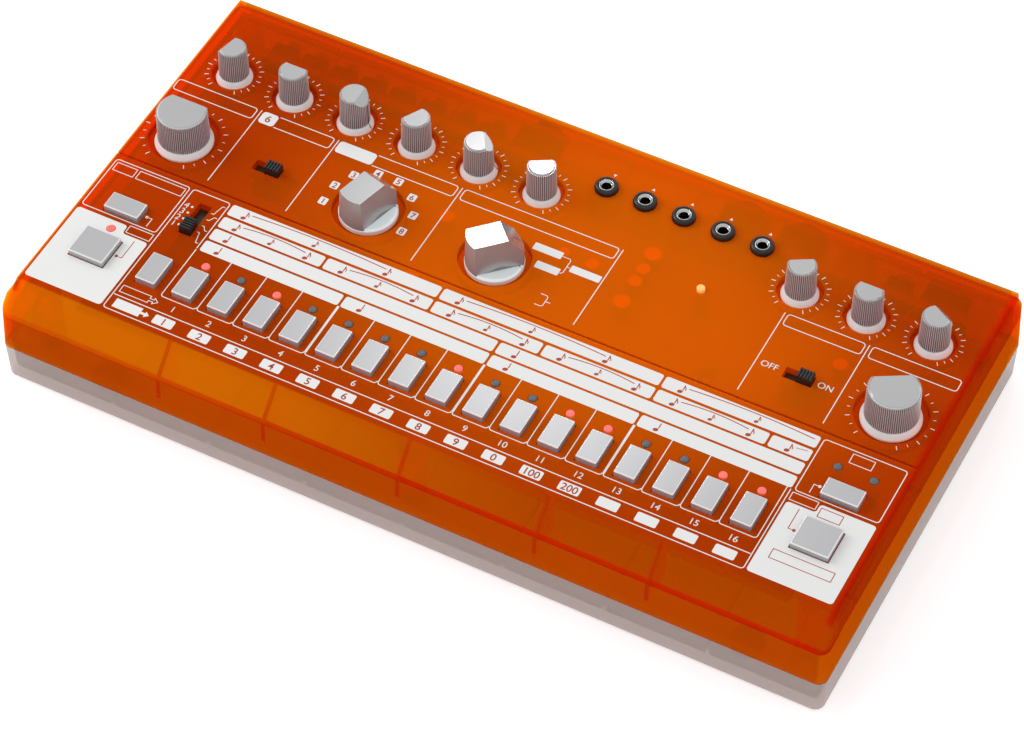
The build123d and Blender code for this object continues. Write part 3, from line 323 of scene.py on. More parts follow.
def slab(name, outline, half):
    """A plate between x = -half and x = half with the given (y, z) outline, in millimetres."""
    obj = outlined(name, [(-half * MM, y * MM, z * MM) for y, z in outline])
    with edit_mode(obj):
        extrude((2 * half * MM, 0.0, 0.0))
        tidy()
    return obj


def lathe(name, outline, steps=64, closed=False):
    """A body turned about Z from its (radius, height) outline. An open one starts and ends on the axis."""
    points = [(r, 0.0, z) for r, z in outline]
    obj = chain(name, points + points[:1] if closed else points)
    with edit_mode(obj):
        bpy.ops.mesh.spin(steps=steps, angle=math.tau, center=(0.0, 0.0, 0.0), axis=(0.0, 0.0, 1.0))
        tidy()
    return obj


def joined(name, pieces):
    if len(pieces) > 1:
        select_only(*pieces)
        bpy.ops.object.join()
    pieces[0].name = pieces[0].data.name = name
    return pieces[0]


def copied(obj, place):
    """A copy with its own mesh, carried to its place by a matrix."""
    twin = obj.copy()
    twin.data = obj.data.copy()
    twin.data.transform(place)
    bpy.context.collection.objects.link(twin)
    return twin


def removed(*objects):
    for obj in objects:
        bpy.data.objects.remove(obj)


def repeated(model, name, places):
    """One piece of a model's copies, one at each place. The model itself goes."""
    copies = [copied(model, Matrix.Translation(place)) for place in places]
    removed(model)
    return joined(name, copies)


def finished(obj, finish):
    obj.data.materials.clear()
    obj.data.materials.append(finish)
    return obj


def finished_by_face(obj, finish, *others):
    """Gives an object one finish, and further ones to the faces that pass their tests."""
    finished(obj, finish)
    for number, (other, test) in enumerate(others, 1):
        obj.data.materials.append(other)
        with edit_mode(obj):
            pick(obj, "FACE", test)
            obj.active_material_index = number
            bpy.ops.object.material_slot_assign()


def finish_piece(obj, name, body, finish=None, replaces=()):
    """Names a piece, gives it its finish unless its parts have theirs, and sets it on its body."""
    obj.name = obj.data.name = name
    if finish:
        finished(obj, finish)
    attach(obj, body)
    if replaces:
        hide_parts(*replaces)


def dress(name, finish):
    """Gives a CAD node its finish."""
    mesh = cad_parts[name].data
    mesh.materials.clear()
    mesh.materials.append(finish)


def centre(name):
    low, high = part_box(name)
    return (low + high) / 2


def islands(name, height):
    """Centres of a CAD node's loose parts, seen at the given height, from left to right."""
    spots = []
    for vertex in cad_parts[name].data.vertices:
        if abs(vertex.co.z - height) > 0.02 * MM:
            continue
        far, near = [], [vertex.co]
        for spot in spots:
            if any((vertex.co - co).xy.length < 2.0 * MM for co in spot):
                near += spot
            else:
                far.append(spot)
        spots = far + [near]
    centres = []
    for spot in spots:
        xs = [co.x for co in spot]
        ys = [co.y for co in spot]
        centres.append(Vector(((min(xs) + max(xs)) / 2, (min(ys) + max(ys)) / 2, height)))
    return sorted(centres, key=lambda place: place.x)


# ---- finishes ----
GRAIN_SCALE = 3000.0
# middle and reach of the pool of light painted on the deck
BRIGHTEST = (20.0 * MM, 14.0 * MM, 0.0)
BRIGHT_REACH = (150.0 * MM, 105.0 * MM)


def feed(tree, socket, value):
    """Gives a socket a plain value, a plain colour or another node's output."""
    if isinstance(value, bpy.types.NodeSocket):
        tree.links.new(value, socket)
    else:
        socket.default_value = (*value, 1.0) if socket.type == "RGBA" else value


def node(tree, kind, inputs, **values):
    """Adds a node, with its settings and what feeds its sockets."""
    made = tree.nodes.new(kind)
    for name, value in values.items():
        setattr(made, name, value)
    for name, value in inputs.items():
        feed(tree, made.inputs[name], value)
    return made


def combined(tree, operation, *values):
    """The result of one sum."""
    return node(tree, "ShaderNodeMath", dict(enumerate(values)), operation=operation).outputs[0]


def product(tree, first, *others):
    for other in others:
        first = combined(tree, "MULTIPLY", first, other)
    return first


def highest(tree, first, *others):
    for other in others:
        first = combined(tree, "MAXIMUM", first, other)
    return first


def ramp(tree, value, low, high):
    """0 below one value and 1 above another, with a smooth rise; the other way where low is above high."""
    inputs = {0: value, 1: low, 2: high}
    return node(tree, "ShaderNodeMapRange", inputs, interpolation_type="SMOOTHSTEP").outputs[0]


def blended(tree, factor, first, second):
    """A mix of two colours. Each is a plain colour or another node's output."""
    return node(tree, "ShaderNodeMix", {0: factor, 6: first, 7: second}, data_type="RGBA").outputs[2]


def coordinates(tree):
    """A point's place on its piece: the three coordinates together, then one by one."""
    place = node(tree, "ShaderNodeTexCoord", {}).outputs["Object"]
    return place, *node(tree, "ShaderNodeSeparateXYZ", {0: place}).outputs


def moulded_grain():
    """The shared group of a moulded surface: slow colour drift, uneven gloss and a fine grain."""
    known = bpy.data.node_groups.get("moulded_grain")
    if known:
        return known
    tree = bpy.data.node_groups.new("moulded_grain", "ShaderNodeTree")
    measures = ("Drift", "Drift Scale", "Roughness", "Gloss Spread", "Grain Scale")
    for way, kind, names in (("INPUT", "Color", ("Colour",)), ("INPUT", "Float", measures),
                             ("OUTPUT", "Color", ("Colour",)), ("OUTPUT", "Float", ("Roughness", "Height"))):
        for name in names:
            tree.interface.new_socket(name, in_out=way, socket_type=f"NodeSocket{kind}")
    given = node(tree, "NodeGroupInput", {}).outputs
    place = coordinates(tree)[0]
    drift, grain = (
        node(tree, "ShaderNodeTexNoise", {"Vector": place, "Scale": given[scale], "Detail": detail})
        for scale, detail in (("Drift Scale", 3.0), ("Grain Scale", 2.0)))
    uneven = combined(tree, "SUBTRACT", drift.outputs["Fac"], 0.5)
    shade = combined(tree, "ADD", product(tree, uneven, given["Drift"]), 1.0)
    tinted = node(tree, "ShaderNodeVectorMath", {0: given["Colour"], "Scale": shade}, operation="SCALE")
    gloss = combined(tree, "MULTIPLY_ADD", uneven, given["Gloss Spread"], given["Roughness"])
    node(tree, "NodeGroupOutput", {"Colour": tinted.outputs[0], "Roughness": gloss,
                                   "Height": grain.outputs["Fac"]})
    return tree


def grained(name, tone, roughness, drift=0.1, drift_scale=60.0, spread=0.1, bump=0.05, **plain):
    """A finish with the shared grain. Further arguments are plain values of the shader's sockets."""
    known = bpy.data.materials.get(name)
    if known:
        return known
    finish = bpy.data.materials.new(name)
    finish.use_nodes = True
    tree = finish.node_tree
    grain = node(tree, "ShaderNodeGroup", {
        "Colour": tone, "Drift": drift, "Drift Scale": drift_scale, "Roughness": roughness,
        "Gloss Spread": spread, "Grain Scale": GRAIN_SCALE}, node_tree=moulded_grain(), name="grain").outputs
    relief = node(tree, "ShaderNodeBump", {"Strength": bump, "Distance": 0.1 * MM, "Height": grain["Height"]})
    fed = {"Normal": relief.outputs["Normal"], "Base Color": grain["Colour"], "Roughness": grain["Roughness"]}
    for socket, value in {**fed, **plain}.items():
        feed(tree, tree.nodes["Principled BSDF"].inputs[socket.replace("_", " ")], value)
    return finish


def see_through(finish, front, back, lit, tint=(1.0, 1.0, 1.0)):
    """Lets part of the light through a finish: how much its front and back hide, and how much they shade."""
    tree = finish.node_tree
    side = node(tree, "ShaderNodeNewGeometry", {}).outputs["Backfacing"]
    ray = node(tree, "ShaderNodeLightPath", {}).outputs
    light = highest(tree, ray["Is Shadow Ray"], ray["Is Diffuse Ray"])
    hidden = node(tree, "ShaderNodeMix", {0: side, 2: front, 3: back}, data_type="FLOAT").outputs[0]
    cover = node(tree, "ShaderNodeMix", {0: light, 2: hidden, 3: lit}, data_type="FLOAT").outputs[0]
    clear = node(tree, "ShaderNodeBsdfTransparent", {"Color": tint}).outputs[0]
    plastic = tree.nodes["Principled BSDF"].outputs[0]
    both = node(tree, "ShaderNodeMixShader", {0: cover, 1: clear, 2: plastic}).outputs[0]
    feed(tree, tree.nodes["Material Output"].inputs["Surface"], both)


def shell_tone(tree, place, x, z, on_slope):
    """The deck's orange with painted light: a lit middle that fades to painted shade towards its ends; the
    sloping front painted lit at its left and shaded to its right; the walls painted in shade, with the right
    wall painted lighter.
    """
    tones = settings("shell")
    # distance from the middle of the painted pool of light, scaled by its reach
    offset = node(tree, "ShaderNodeVectorMath", {0: place, 1: BRIGHTEST}, operation="SUBTRACT").outputs[0]
    shares = (1.0 / BRIGHT_REACH[0], 1.0 / BRIGHT_REACH[1], 0.0)
    scaled = node(tree, "ShaderNodeVectorMath", {0: offset, 1: shares}, operation="MULTIPLY").outputs[0]
    reach = node(tree, "ShaderNodeVectorMath", {0: scaled}, operation="LENGTH").outputs["Value"]
    deck = blended(tree, ramp(tree, reach, 0.3, 0.95), tones.bright, tones.deep)
    # painted light on the sloping front: lit at the left end, shaded to the right
    front = blended(tree, ramp(tree, x, -80.0 * MM, 60.0 * MM), tones.slope, tones.shaded)
    # the walls' painted shade, with the right wall painted lighter
    at_far_wall = ramp(tree, x, SHELL_HIGH.x - 3.5 * MM, SHELL_HIGH.x - 2.0 * MM)
    walls = blended(tree, at_far_wall, tones.ochre, tones.far_wall)
    on_walls = ramp(tree, z, SLOPE_FOOT_Z + 0.3 * MM, SLOPE_FOOT_Z - 0.5 * MM)
    return blended(tree, on_walls, blended(tree, on_slope, deck, front), walls)


def shell_edges(tree, x, z, on_slope):
    """Where the shell is painted red: its ends, seam and front ribs, where the plastic is thicker; painted
    shade along its slope's foot, stronger to the right, and on what turns away from the view.
    """
    far = combined(tree, "ABSOLUTE", x)
    # painted shade along the slope's foot, stronger to the right
    foot = product(tree, ramp(tree, z, SLOPE_FOOT_Z - 0.9 * MM, SLOPE_FOOT_Z - 0.4 * MM),
                   ramp(tree, z, SLOPE_FOOT_Z + 1.3 * MM, SLOPE_FOOT_Z + 0.8 * MM),
                   on_slope, ramp(tree, x, -260.0 * MM, 60.0 * MM))
    ends = product(tree, ramp(tree, far, SHELL_HIGH.x - 5.5 * MM, SHELL_HIGH.x - 3.0 * MM),
                   ramp(tree, z, DECK_Z - 4.0 * MM, DECK_Z - 3.0 * MM))
    seam = ramp(tree, z, SEAM_Z + 0.8 * MM, SEAM_Z + 0.4 * MM)
    shown = product(tree, on_slope, ramp(tree, z, FRONT_RIB_LOW_Z - 0.1 * MM, FRONT_RIB_LOW_Z + 0.1 * MM),
                    ramp(tree, z, DECK_Z + 40.0 * MM, DECK_Z - 44.0 * MM))
    ribs = [product(tree, combined(tree, "COMPARE", far, rib_x, 0.75 * MM), shown) for rib_x in FRONT_RIBS]
    # painted shade where the surface turns away from the view
    turned = node(tree, "ShaderNodeLayerWeight", {"Blend": 0.3}).outputs["Facing"]
    return highest(tree, foot, ends, seam, *ribs, ramp(tree, turned, 0.6, 0.95))


def inner_walls(tree, x, y):
    """Where the back of an upright wall inside the shell shows: at the wells, bosses and ribs."""
    side = node(tree, "ShaderNodeNewGeometry", {}).outputs
    lean = node(tree, "ShaderNodeSeparateXYZ", {0: side["Normal"]}).outputs[2]
    upright = ramp(tree, combined(tree, "ABSOLUTE", lean), 0.4, 0.2)
    behind_front = ramp(tree, y, SHELL_LOW.y + 2.9 * MM, SHELL_LOW.y + 3.1 * MM)
    between_ends = ramp(tree, combined(tree, "ABSOLUTE", x), SHELL_HIGH.x - 5.0 * MM, SHELL_HIGH.x - 5.5 * MM)
    return product(tree, upright, side["Backfacing"], behind_front, between_ends)


def orange_shell():
    """Translucent orange with painted light: a lit middle of the deck, painted shade towards the ends, and
    red on rims, ribs and bosses, partly painted shade.
    """
    known = bpy.data.materials.get("orange_shell")
    if known:
        return known
    tones = settings("shell")
    finish = grained("orange_shell", tones.bright, 0.3, drift=0.12, drift_scale=18.0, spread=0.06,
                     Specular_IOR_Level=0.0)
    tree = finish.node_tree
    place, x, y, z = coordinates(tree)
    on_slope = ramp(tree, y, SLOPE_TOP_Y + 0.1 * MM, SLOPE_TOP_Y - 0.7 * MM)
    inner = inner_walls(tree, x, y)
    # red: the rim red's mask, for thicker plastic and for painted shade
    red = highest(tree, shell_edges(tree, x, z, on_slope), inner)
    tone = blended(tree, red, shell_tone(tree, place, x, z, on_slope), tones.rim)
    feed(tree, tree.nodes["grain"].inputs["Colour"], tone)
    back = node(tree, "ShaderNodeMapRange", {0: inner, 3: 0.2, 4: 0.55}).outputs[0]
    see_through(finish, tones.cover, back, 0.12)
    depth = node(tree, "ShaderNodeVolumeAbsorption", {"Color": tones.absorbed, "Density": tones.density})
    feed(tree, tree.nodes["Material Output"].inputs["Volume"], depth.outputs[0])
    return finish


def frosted_shell():
    """Frosted clear plastic with a rosy tint."""
    known = bpy.data.materials.get("frosted_shell")
    if known:
        return known
    finish = grained("frosted_shell", settings("shell").frost, 0.4, drift=0.06, drift_scale=25.0,
                     Specular_IOR_Level=0.1)
    see_through(finish, 0.55, 0.3, 0.3, (0.85, 0.8, 0.79))
    return finish


def lamp_glow(name, tone, strength):
    """A lit lens: its own colour and a glow that fades to its rim."""
    known = bpy.data.materials.get(name)
    if known:
        return known
    finish = grained(name, tone, 0.25, drift=0.15, drift_scale=900.0, Emission_Strength=strength)
    tree = finish.node_tree
    facing = node(tree, "ShaderNodeLayerWeight", {"Blend": 0.35}).outputs["Facing"]
    centre_tone = [1.0 - 0.75 * (1.0 - channel) for channel in tone]
    glow = blended(tree, facing, centre_tone, tone)
    feed(tree, tree.nodes["Principled BSDF"].inputs["Emission Color"], glow)
    return finish


def silver():
    return grained("satin_silver", settings("knobs").silver, 0.32, drift=0.05, spread=0.05, bump=0.03,
                   Metallic=0.4)


# the tops and facets of knobs and selectors: lighter and glossier than their sides, partly painted light
def top_silver():
    return grained("top_silver", (0.56, 0.56, 0.565), 0.17, drift=0.04, spread=0.02, bump=0.02, Metallic=0.7)


# painted light on the flutes' crests
def crest_silver():
    return grained("crest_silver", settings("knobs").crest, 0.35, drift=0.05, spread=0.05, bump=0.02,
                   Metallic=0.3)


# painted shade in the flutes' hollows
def flute_shade():
    return grained("flute_shade", settings("knobs").shade, 0.45, drift=0.05, spread=0.05, bump=0.02,
                   Metallic=0.3)


# bright silver with a faint glow, painted light, on the knobs' skirts and the selectors' bases
def bright_silver():
    return grained("bright_silver", (0.9, 0.96, 0.98), 0.25, drift=0.05, spread=0.05, bump=0.02, Metallic=0.2,
                   Emission_Color=(0.9, 0.98, 1.0), Emission_Strength=0.1)


# painted highlight on the keys' bevels
def edge_silver():
    return grained("edge_silver", (0.95, 0.95, 0.95), 0.2, drift=0.04, spread=0.03, bump=0.0, Metallic=0.6)


# the keys' sides and inner parts: darker than the tops, partly painted shade
def key_grey():
    return grained("satin_key_grey", settings("keys").grey, 0.35, drift=0.04, spread=0.03, bump=0.04,
                   Metallic=0.35)


# the keys' tops: lighter and glossier than the sides, partly painted light
def key_top():
    return grained("key_top_silver", settings("keys").top, 0.3, drift=0.04, spread=0.03, bump=0.06,
                   Metallic=0.6)


# painted shade: the dark flare along a selector bar's foot
def dull_silver():
    return grained("dull_silver", (0.25, 0.25, 0.25), 0.4, drift=0.05, spread=0.05, bump=0.02, Metallic=0.3)


def dark_line():
    return grained("dark_line", (0.05, 0.045, 0.045), 0.6, drift=0.1, bump=0.05)


def dark_spacer():
    return grained("dark_spacer", (0.2, 0.045, 0.008), 0.6, drift=0.1, bump=0.05)


def satin_black():
    return grained("satin_black", (0.012, 0.012, 0.013), 0.35, drift=0.2, spread=0.15, bump=0.08)


def bright_nickel():
    return grained("bright_nickel", (0.6, 0.59, 0.58), 0.18, drift=0.06, spread=0.1, bump=0.02, Metallic=1.0)


def sleeved_cans():
    """Capacitors: a dark sleeve and a bare, bright top."""
    sleeve = (0.2, 0.05, 0.01)
    finish = grained("sleeved_cans", sleeve, 0.5, drift=0.1)
    tree = finish.node_tree
    on_top = combined(tree, "GREATER_THAN", coordinates(tree)[-1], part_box("capacitors")[1].z - 0.05 * MM)
    feed(tree, tree.nodes["grain"].inputs["Colour"], blended(tree, on_top, sleeve, (1.0, 0.9, 0.5)))
    return finish


def white_ink():
    return grained("white_ink", settings("print").white, 0.45, drift=0.03, bump=0.03)


def red_ink():
    return grained("dark_red_ink", settings("print").red, 0.45, drift=0.1, bump=0.03)


def glowing_floor():
    """A white floor that also glows a little where the camera sees it."""
    finish = grained("white_floor", (0.82, 0.82, 0.83), 0.1, drift=0.0, spread=0.0, bump=0.0)
    tree = finish.node_tree
    ray = node(tree, "ShaderNodeLightPath", {}).outputs
    seen = highest(tree, ray["Is Camera Ray"], ray["Is Glossy Ray"], ray["Is Transmission Ray"])
    glow = node(tree, "ShaderNodeEmission", {"Strength": product(tree, seen, 0.5)}).outputs[0]
    surface = tree.nodes["Principled BSDF"].outputs[0]
    both = node(tree, "ShaderNodeAddShader", {0: surface, 1: glow}).outputs[0]
    feed(tree, tree.nodes["Material Output"].inputs["Surface"], both)
    return finish


# ---- pieces ----
def fluted_knob(name, size):
    """A fluted body with a bevelled crown and a sloping pointer facet that faces +Y, on a flared skirt."""
    shared = settings("knobs")
    flute_top = shared.height - shared.crown
    sides = 4 * size.flutes
    bpy.ops.mesh.primitive_cylinder_add(vertices=sides, radius=size.foot, depth=flute_top,
                                        location=(0.0, 0.0, flute_top / 2))
    body = just_added(name)
    crown_r = size.top - shared.flute - 0.04 * MM

    def side_number(spot):
        return math.atan2(spot.y, spot.x) / math.tau * sides

    with edit_mode(body):
        pick(body, "FACE", lambda face: face.normal.z > 0.9)
        resize(size.top / size.foot, size.top / size.foot)
        extrude((0.0, 0.0, 0.0), crown_r / size.top)
        extrude((0.0, 0.0, 0.5 * shared.crown), 0.985)
        extrude((0.0, 0.0, 0.5 * shared.crown), 0.96)
        for classes, depth in (((2,), 1.0), ((1, 3), 0.3)):
            pick(body, "VERT", lambda vertex: round(side_number(vertex.co)) % 4 in classes
                 and vertex.co.xy.length > crown_r + 0.02 * MM)
            inward = 1.0 - depth * shared.flute / size.foot
            resize(inward, inward)
        bpy.ops.mesh.select_all(action="SELECT")
        facet = Vector((0.0, math.sin(shared.slope), math.cos(shared.slope)))
        bpy.ops.mesh.bisect(plane_co=(0.0, size.chord, shared.height), plane_no=facet, use_fill=True,
                            clear_outer=True)
        pick(body, "EDGE", lambda edge: any((face.normal - facet).length < 0.02 for face in edge.link_faces))
        bpy.ops.mesh.bevel(offset=0.09 * MM, segments=2, affect="EDGES", clamp_overlap=True)
    smooth(body, 28.0)
    skirt = lathe(f"{name}_skirt", [
        (0.0, -shared.low), (size.skirt - 0.15 * MM, -shared.low), (size.skirt, -shared.low + 0.15 * MM),
        (size.skirt, -shared.rim - 0.1 * MM), (size.skirt - 0.08 * MM, -shared.rim),
        (size.foot + 0.45 * (size.skirt - size.foot), -0.75 * MM), (size.foot + 0.02 * MM, shared.collar),
        (size.foot - 0.3 * MM, shared.collar + 0.02 * MM), (0.0, shared.collar + 0.02 * MM)], steps=96)
    smooth(skirt, 30.0)
    foot, top, skirt_r, chord = (value / MM for value in (size.foot, size.top, size.skirt, size.chord))
    low_z, high_z = shared.collar / MM, shared.height / MM
    facet_z = high_z - (top - chord) * math.tan(shared.slope)
    facet_r = foot + (top - foot) * facet_z / high_z
    line = slab(f"{name}_line", [(skirt_r - 0.3, -1.7), (skirt_r - 0.05, -1.5), (foot + 0.03, low_z),
                                 (facet_r + 0.02, facet_z), (facet_r - 0.5, facet_z),
                                 (foot - 0.5, low_z)], 0.14)

    # the flutes' hollows get the painted shade, their crests the painted light
    def flute_face(face):
        return face.normal.z < 0.35 and math.floor(side_number(face.calc_center_median())) % 4 in (1, 2)

    finished_by_face(body, crest_silver(), (flute_shade(), flute_face),
                     (top_silver(), lambda face: face.normal.z > 0.4))
    return joined(name, [body, finished(skirt, bright_silver()), finished(line, dark_line())])


def selector_knob(name):
    """A bar grip with a sloping pointer end that faces +Y, on a round base."""
    shared = settings("knobs")
    height, sunk = 12.3 * MM, 0.5 * MM
    half_foot, half_top, half_length = 5.8 * MM, 4.75 * MM, 12.0 * MM
    bar = cube(name, (-half_foot, -half_length, -sunk), (half_foot, half_length, height))
    bpy.ops.mesh.primitive_cone_add(vertices=160, radius1=10.12 * MM, radius2=9.7 * MM, depth=height + sunk,
                                    location=(0.0, 0.0, (height - sunk) / 2))
    cone = just_added(f"{name}_ends")
    with edit_mode(bar):
        pick(bar, "FACE", lambda face: face.normal.z > 0.9)
        resize(half_top / half_foot, 1.0)
    modify(bar, "BOOLEAN", operation="INTERSECT", object=cone, solver="EXACT")
    removed(cone)
    with edit_mode(bar):
        bpy.ops.mesh.bisect(plane_co=(0.0, 3.5 * MM, height),
                            plane_no=(0.0, math.sin(shared.slope), math.cos(shared.slope)),
                            use_fill=True, clear_outer=True)
        sharp = math.radians(25.0)
        pick(bar, "EDGE", lambda edge: edge.calc_face_angle(0.0) > sharp and edge.verts[0].co.z > 0.0)
        bpy.ops.mesh.bevel(offset=0.38 * MM, segments=3, affect="EDGES", clamp_overlap=True)
    smooth(bar, 24.0)
    base = lathe(f"{name}_base", [
        (0.0, -shared.low), (10.15 * MM, -shared.low), (10.3 * MM, -shared.low + 0.15 * MM),
        (10.3 * MM, -0.8 * MM), (10.25 * MM, -0.7 * MM), (9.65 * MM, -0.05 * MM), (9.5 * MM, 0.0),
        (0.0, 0.0)], steps=128)
    smooth(base, 30.0)
    # the flare along the bar's foot gets painted shade
    scoop = flared_foot(f"{name}_scoop")
    line = slab(f"{name}_line", [(6.6, 8.66), (9.2, 5.56), (8.8, 5.2), (6.2, 8.3)], 0.14)
    finished_by_face(bar, silver(), (top_silver(), lambda face: face.normal.z > 0.4))
    return joined(name, [bar, finished(base, bright_silver()), finished(scoop, dull_silver()),
                         finished(line, dark_line())])


def flared_foot(name):
    """The flare along the bar's foot: highest at the middle of the bar, and gone at its ends."""
    steps, reach, ridge, rise = 16, 7.3 * MM, 6.9 * MM, 1.8 * MM
    heights = [max(0.02, 1.0 - (2 * i / steps - 1) ** 2) for i in range(steps + 1)]
    start = heights[0] * rise
    obj = outlined(name, [(-ridge, -reach, -0.2 * MM), (ridge, -reach, -0.2 * MM), (5.6 * MM, -reach, start),
                          (-5.6 * MM, -reach, start)])
    with edit_mode(obj):
        for before, after in zip(heights, heights[1:]):
            extrude((0.0, 2 * reach / steps, 0.0))
            resize(1.0, 1.0, after / before)
        tidy()
    smooth(obj, 30.0)
    return obj


def set_knobs(model, names, kind):
    """Sets a copy of a knob at each name's place, with its pointer at its angle at rest. The model goes."""
    for name in names:
        body = f"{name}_{kind}"
        spot = centre(body)
        place = Matrix.Translation((spot.x, spot.y, DECK_Z))
        knob = copied(model, place @ Matrix.Rotation(-math.radians(POINTER_ANGLES[name]), 4, "Z"))
        finish_piece(knob, body + "_cap", body, None, [body])
    removed(model)


# ---- print: its lengths and places are in millimetres from the middle of the case ----
THIN_LINE, FINE_LINE, CURVE_LINE, SLUR_LINE, THICK_LINE = 0.3, 0.24, 0.28, 0.36, 0.85
FRAME_CORNER, BOX_CORNER = 1.3, 0.2
LABEL_HEIGHT, LABEL_WEIGHT = 2.5, 0.012


def flat_shape(points, corner=0.0):
    """A flat face inside an outline, with rounded corners."""
    obj = outlined("print_shape", [(x * MM, y * MM, 0.0) for x, y in points])
    if corner:
        with edit_mode(obj):
            bpy.ops.mesh.bevel(offset=corner * MM, segments=5, affect="VERTICES")
    return obj


def flat_plate(x0, y0, x1, y1, corner):
    """A flat rectangle with rounded corners."""
    return flat_shape(((x0, y0), (x1, y0), (x1, y1), (x0, y1)), corner)


def flat_frame(x0, y0, x1, y1, corner, width=None):
    """A printed outline with rounded corners."""
    obj = flat_plate(x0, y0, x1, y1, corner)
    with edit_mode(obj):
        bpy.ops.mesh.select_mode(type="FACE")
        bpy.ops.mesh.inset(thickness=width * MM if width else settings("print").line)
        bpy.ops.mesh.delete(type="FACE")
    return obj


def small_box(x0, y0, x1, y1):
    return flat_frame(x0, y0, x1, y1, BOX_CORNER, THIN_LINE)


def flat_disc(x, y, r):
    bpy.ops.mesh.primitive_circle_add(vertices=20, radius=r * MM, fill_type="NGON",
                                      location=(x * MM, y * MM, 0.0))
    return just_added("print_disc")


def turn(x, y, r, first, last):
    """Points of an arc round (x, y) between two angles, in degrees from +X."""
    angles = [math.radians(first + (last - first) * i / 5) for i in range(6)]
    return [(x + r * math.cos(angle), y + r * math.sin(angle)) for angle in angles]


def flat_line(points, width=None):
    """A printed line through points, mitred at its corners."""
    half = (width if width else settings("print").line / MM) / 2
    spots = [Vector(point) for point in points]
    left, right = [], []
    for i, spot in enumerate(spots):
        ways = [(b - a).normalized() for a, b in zip(spots[max(i - 1, 0):i + 1], spots[max(i, 1):i + 2])]
        across = sum((Vector((-way.y, way.x)) for way in ways), Vector((0.0, 0.0))).normalized()
        reach = half / max(0.4, across.dot(Vector((-ways[0].y, ways[0].x))))
        left.append(spot + reach * across)
        right.append(spot - reach * across)
    return flat_shape(left + right[::-1])


def flat_text(words, x, y, height, weight=0.02):
    """Plain digits or letters, centred on a point. The weight thickens their strokes."""
    bpy.ops.object.text_add(location=(0.0, 0.0, 0.0))
    obj = bpy.context.object
    obj.data.body = words
    obj.data.size = height * MM / 0.7
    obj.data.align_x = "CENTER"
    obj.data.offset = weight * MM * height
    select_only(obj)
    bpy.ops.object.convert(target="MESH")
    obj = bpy.context.object
    obj.data.transform(Matrix.Translation((x * MM, (y - height / 2) * MM, 0.0)))
    return obj


def label(words, x, y):
    return flat_text(words, x, y, LABEL_HEIGHT, LABEL_WEIGHT)


def flat_note(x, y, size, flag):
    """A note: an oval head, a stem and, on an eighth, a flag."""
    bpy.ops.mesh.primitive_circle_add(vertices=20, radius=0.95 * size * MM, fill_type="NGON",
                                      location=(x * MM, y * MM, 0.0), rotation=(0.0, 0.0, math.radians(20.0)))
    bpy.context.object.scale = (1.0, 0.72, 1.0)
    head = just_added("print_note")
    left, right = 0.66 - 0.18 / size, 0.66 + 0.18 / size
    outline = [(left, 0.78), (left, 3.1), (right, 3.1)]
    if flag:
        outline += [(1.0, 2.55), (1.6, 1.8), (1.54, 1.0), (1.26, 1.0), (1.3, 1.66), (right, 2.2)]
    outline.append((right, 0.78))
    stem = flat_shape([(x + size * across, y + size * up) for across, up in outline])
    return joined("print_note", [head, stem])


def flat_slur(x0, x1, y, rise):
    """A shallow arc over a run of notes."""
    steps = 12
    shares = [i / steps for i in range(steps + 1)]
    return flat_line([(x0 + (x1 - x0) * t, y + rise * 4 * t * (1 - t)) for t in shares], SLUR_LINE)


def flat_run(places, y, end):
    """Eighths, the second one smaller, under a slur that starts at the first."""
    notes = [flat_note(x, y, size, True) for x, size in zip(places, (1.0, 0.8, 1.0))]
    return notes + [flat_slur(places[0] + 2.4, end, y + 2.2, 0.9)]


def inked(name, shapes, finish, layer=0, openings=()):
    """Joins flat shapes into one print of the ink's thickness, cuts its openings and lays it on the deck."""
    ink = settings("print")
    obj = joined(name, shapes)
    modify(obj, "SOLIDIFY", thickness=ink.thickness, offset=0.0)
    with edit_mode(obj):
        tidy()
    lift = DECK_Z + ink.lift + ink.thickness / 2 + layer * (ink.thickness + ink.lift)
    obj.data.transform(Matrix.Translation((0.0, MIDDLE_Y, lift)))
    for opening in openings:
        modify(obj, "BOOLEAN", operation="DIFFERENCE", object=opening, solver="EXACT")
        removed(opening)
    finish_piece(obj, name, "case", finish)


# ---- operators ----
class DRUM_OT_finish_shells(bpy.types.Operator):
    """Give the two case shells and the feet their finishes"""
    bl_idname = "drum.finish_shells"
    bl_label = "Finish Shells"

    def execute(self, context):
        for name, finish in (("top_case", orange_shell()), ("bottom_case", frosted_shell()),
                             ("rubber_feet", grained("soft_rubber", (0.02, 0.02, 0.02), 0.75, bump=0.2))):
            dress(name, finish)
        return {"FINISHED"}


class DRUM_OT_finish_inside(bpy.types.Operator):
    """Give the boards, switches, screws and sockets their finishes"""
    bl_idname = "drum.finish_inside"
    bl_label = "Finish Inside"

    def execute(self, context):
        board = grained("board_laminate", (0.36, 0.16, 0.06), 0.5, drift=0.5, drift_scale=120.0)
        steel = grained("zinc_steel", (0.55, 0.55, 0.56), 0.35, Metallic=1.0)
        for names, finish in ((("main_board", "io_board"), board), (("board_screws", "case_screws"), steel),
                              (("capacitors",), sleeved_cans()), (("usb_socket",), bright_nickel()),
                              (("board_link", "slide_switches", "voice_jacks", "mix_jack", "midi_sockets",
                                "dc_socket", "power_switch", "power_rocker"), satin_black()),
                              (("potentiometers", "rotary_switches", "key_switches"), dark_spacer())):
            for name in names:
                dress(name, finish)
        return {"FINISHED"}


class DRUM_OT_small_knobs(bpy.types.Operator):
    """Model the nine small fluted knobs"""
    bl_idname = "drum.small_knobs"
    bl_label = "Small Knobs"

    def execute(self, context):
        set_knobs(fluted_knob("small_knob", settings("small_knob")), SMALL_KNOBS, "knob")
        return {"FINISHED"}


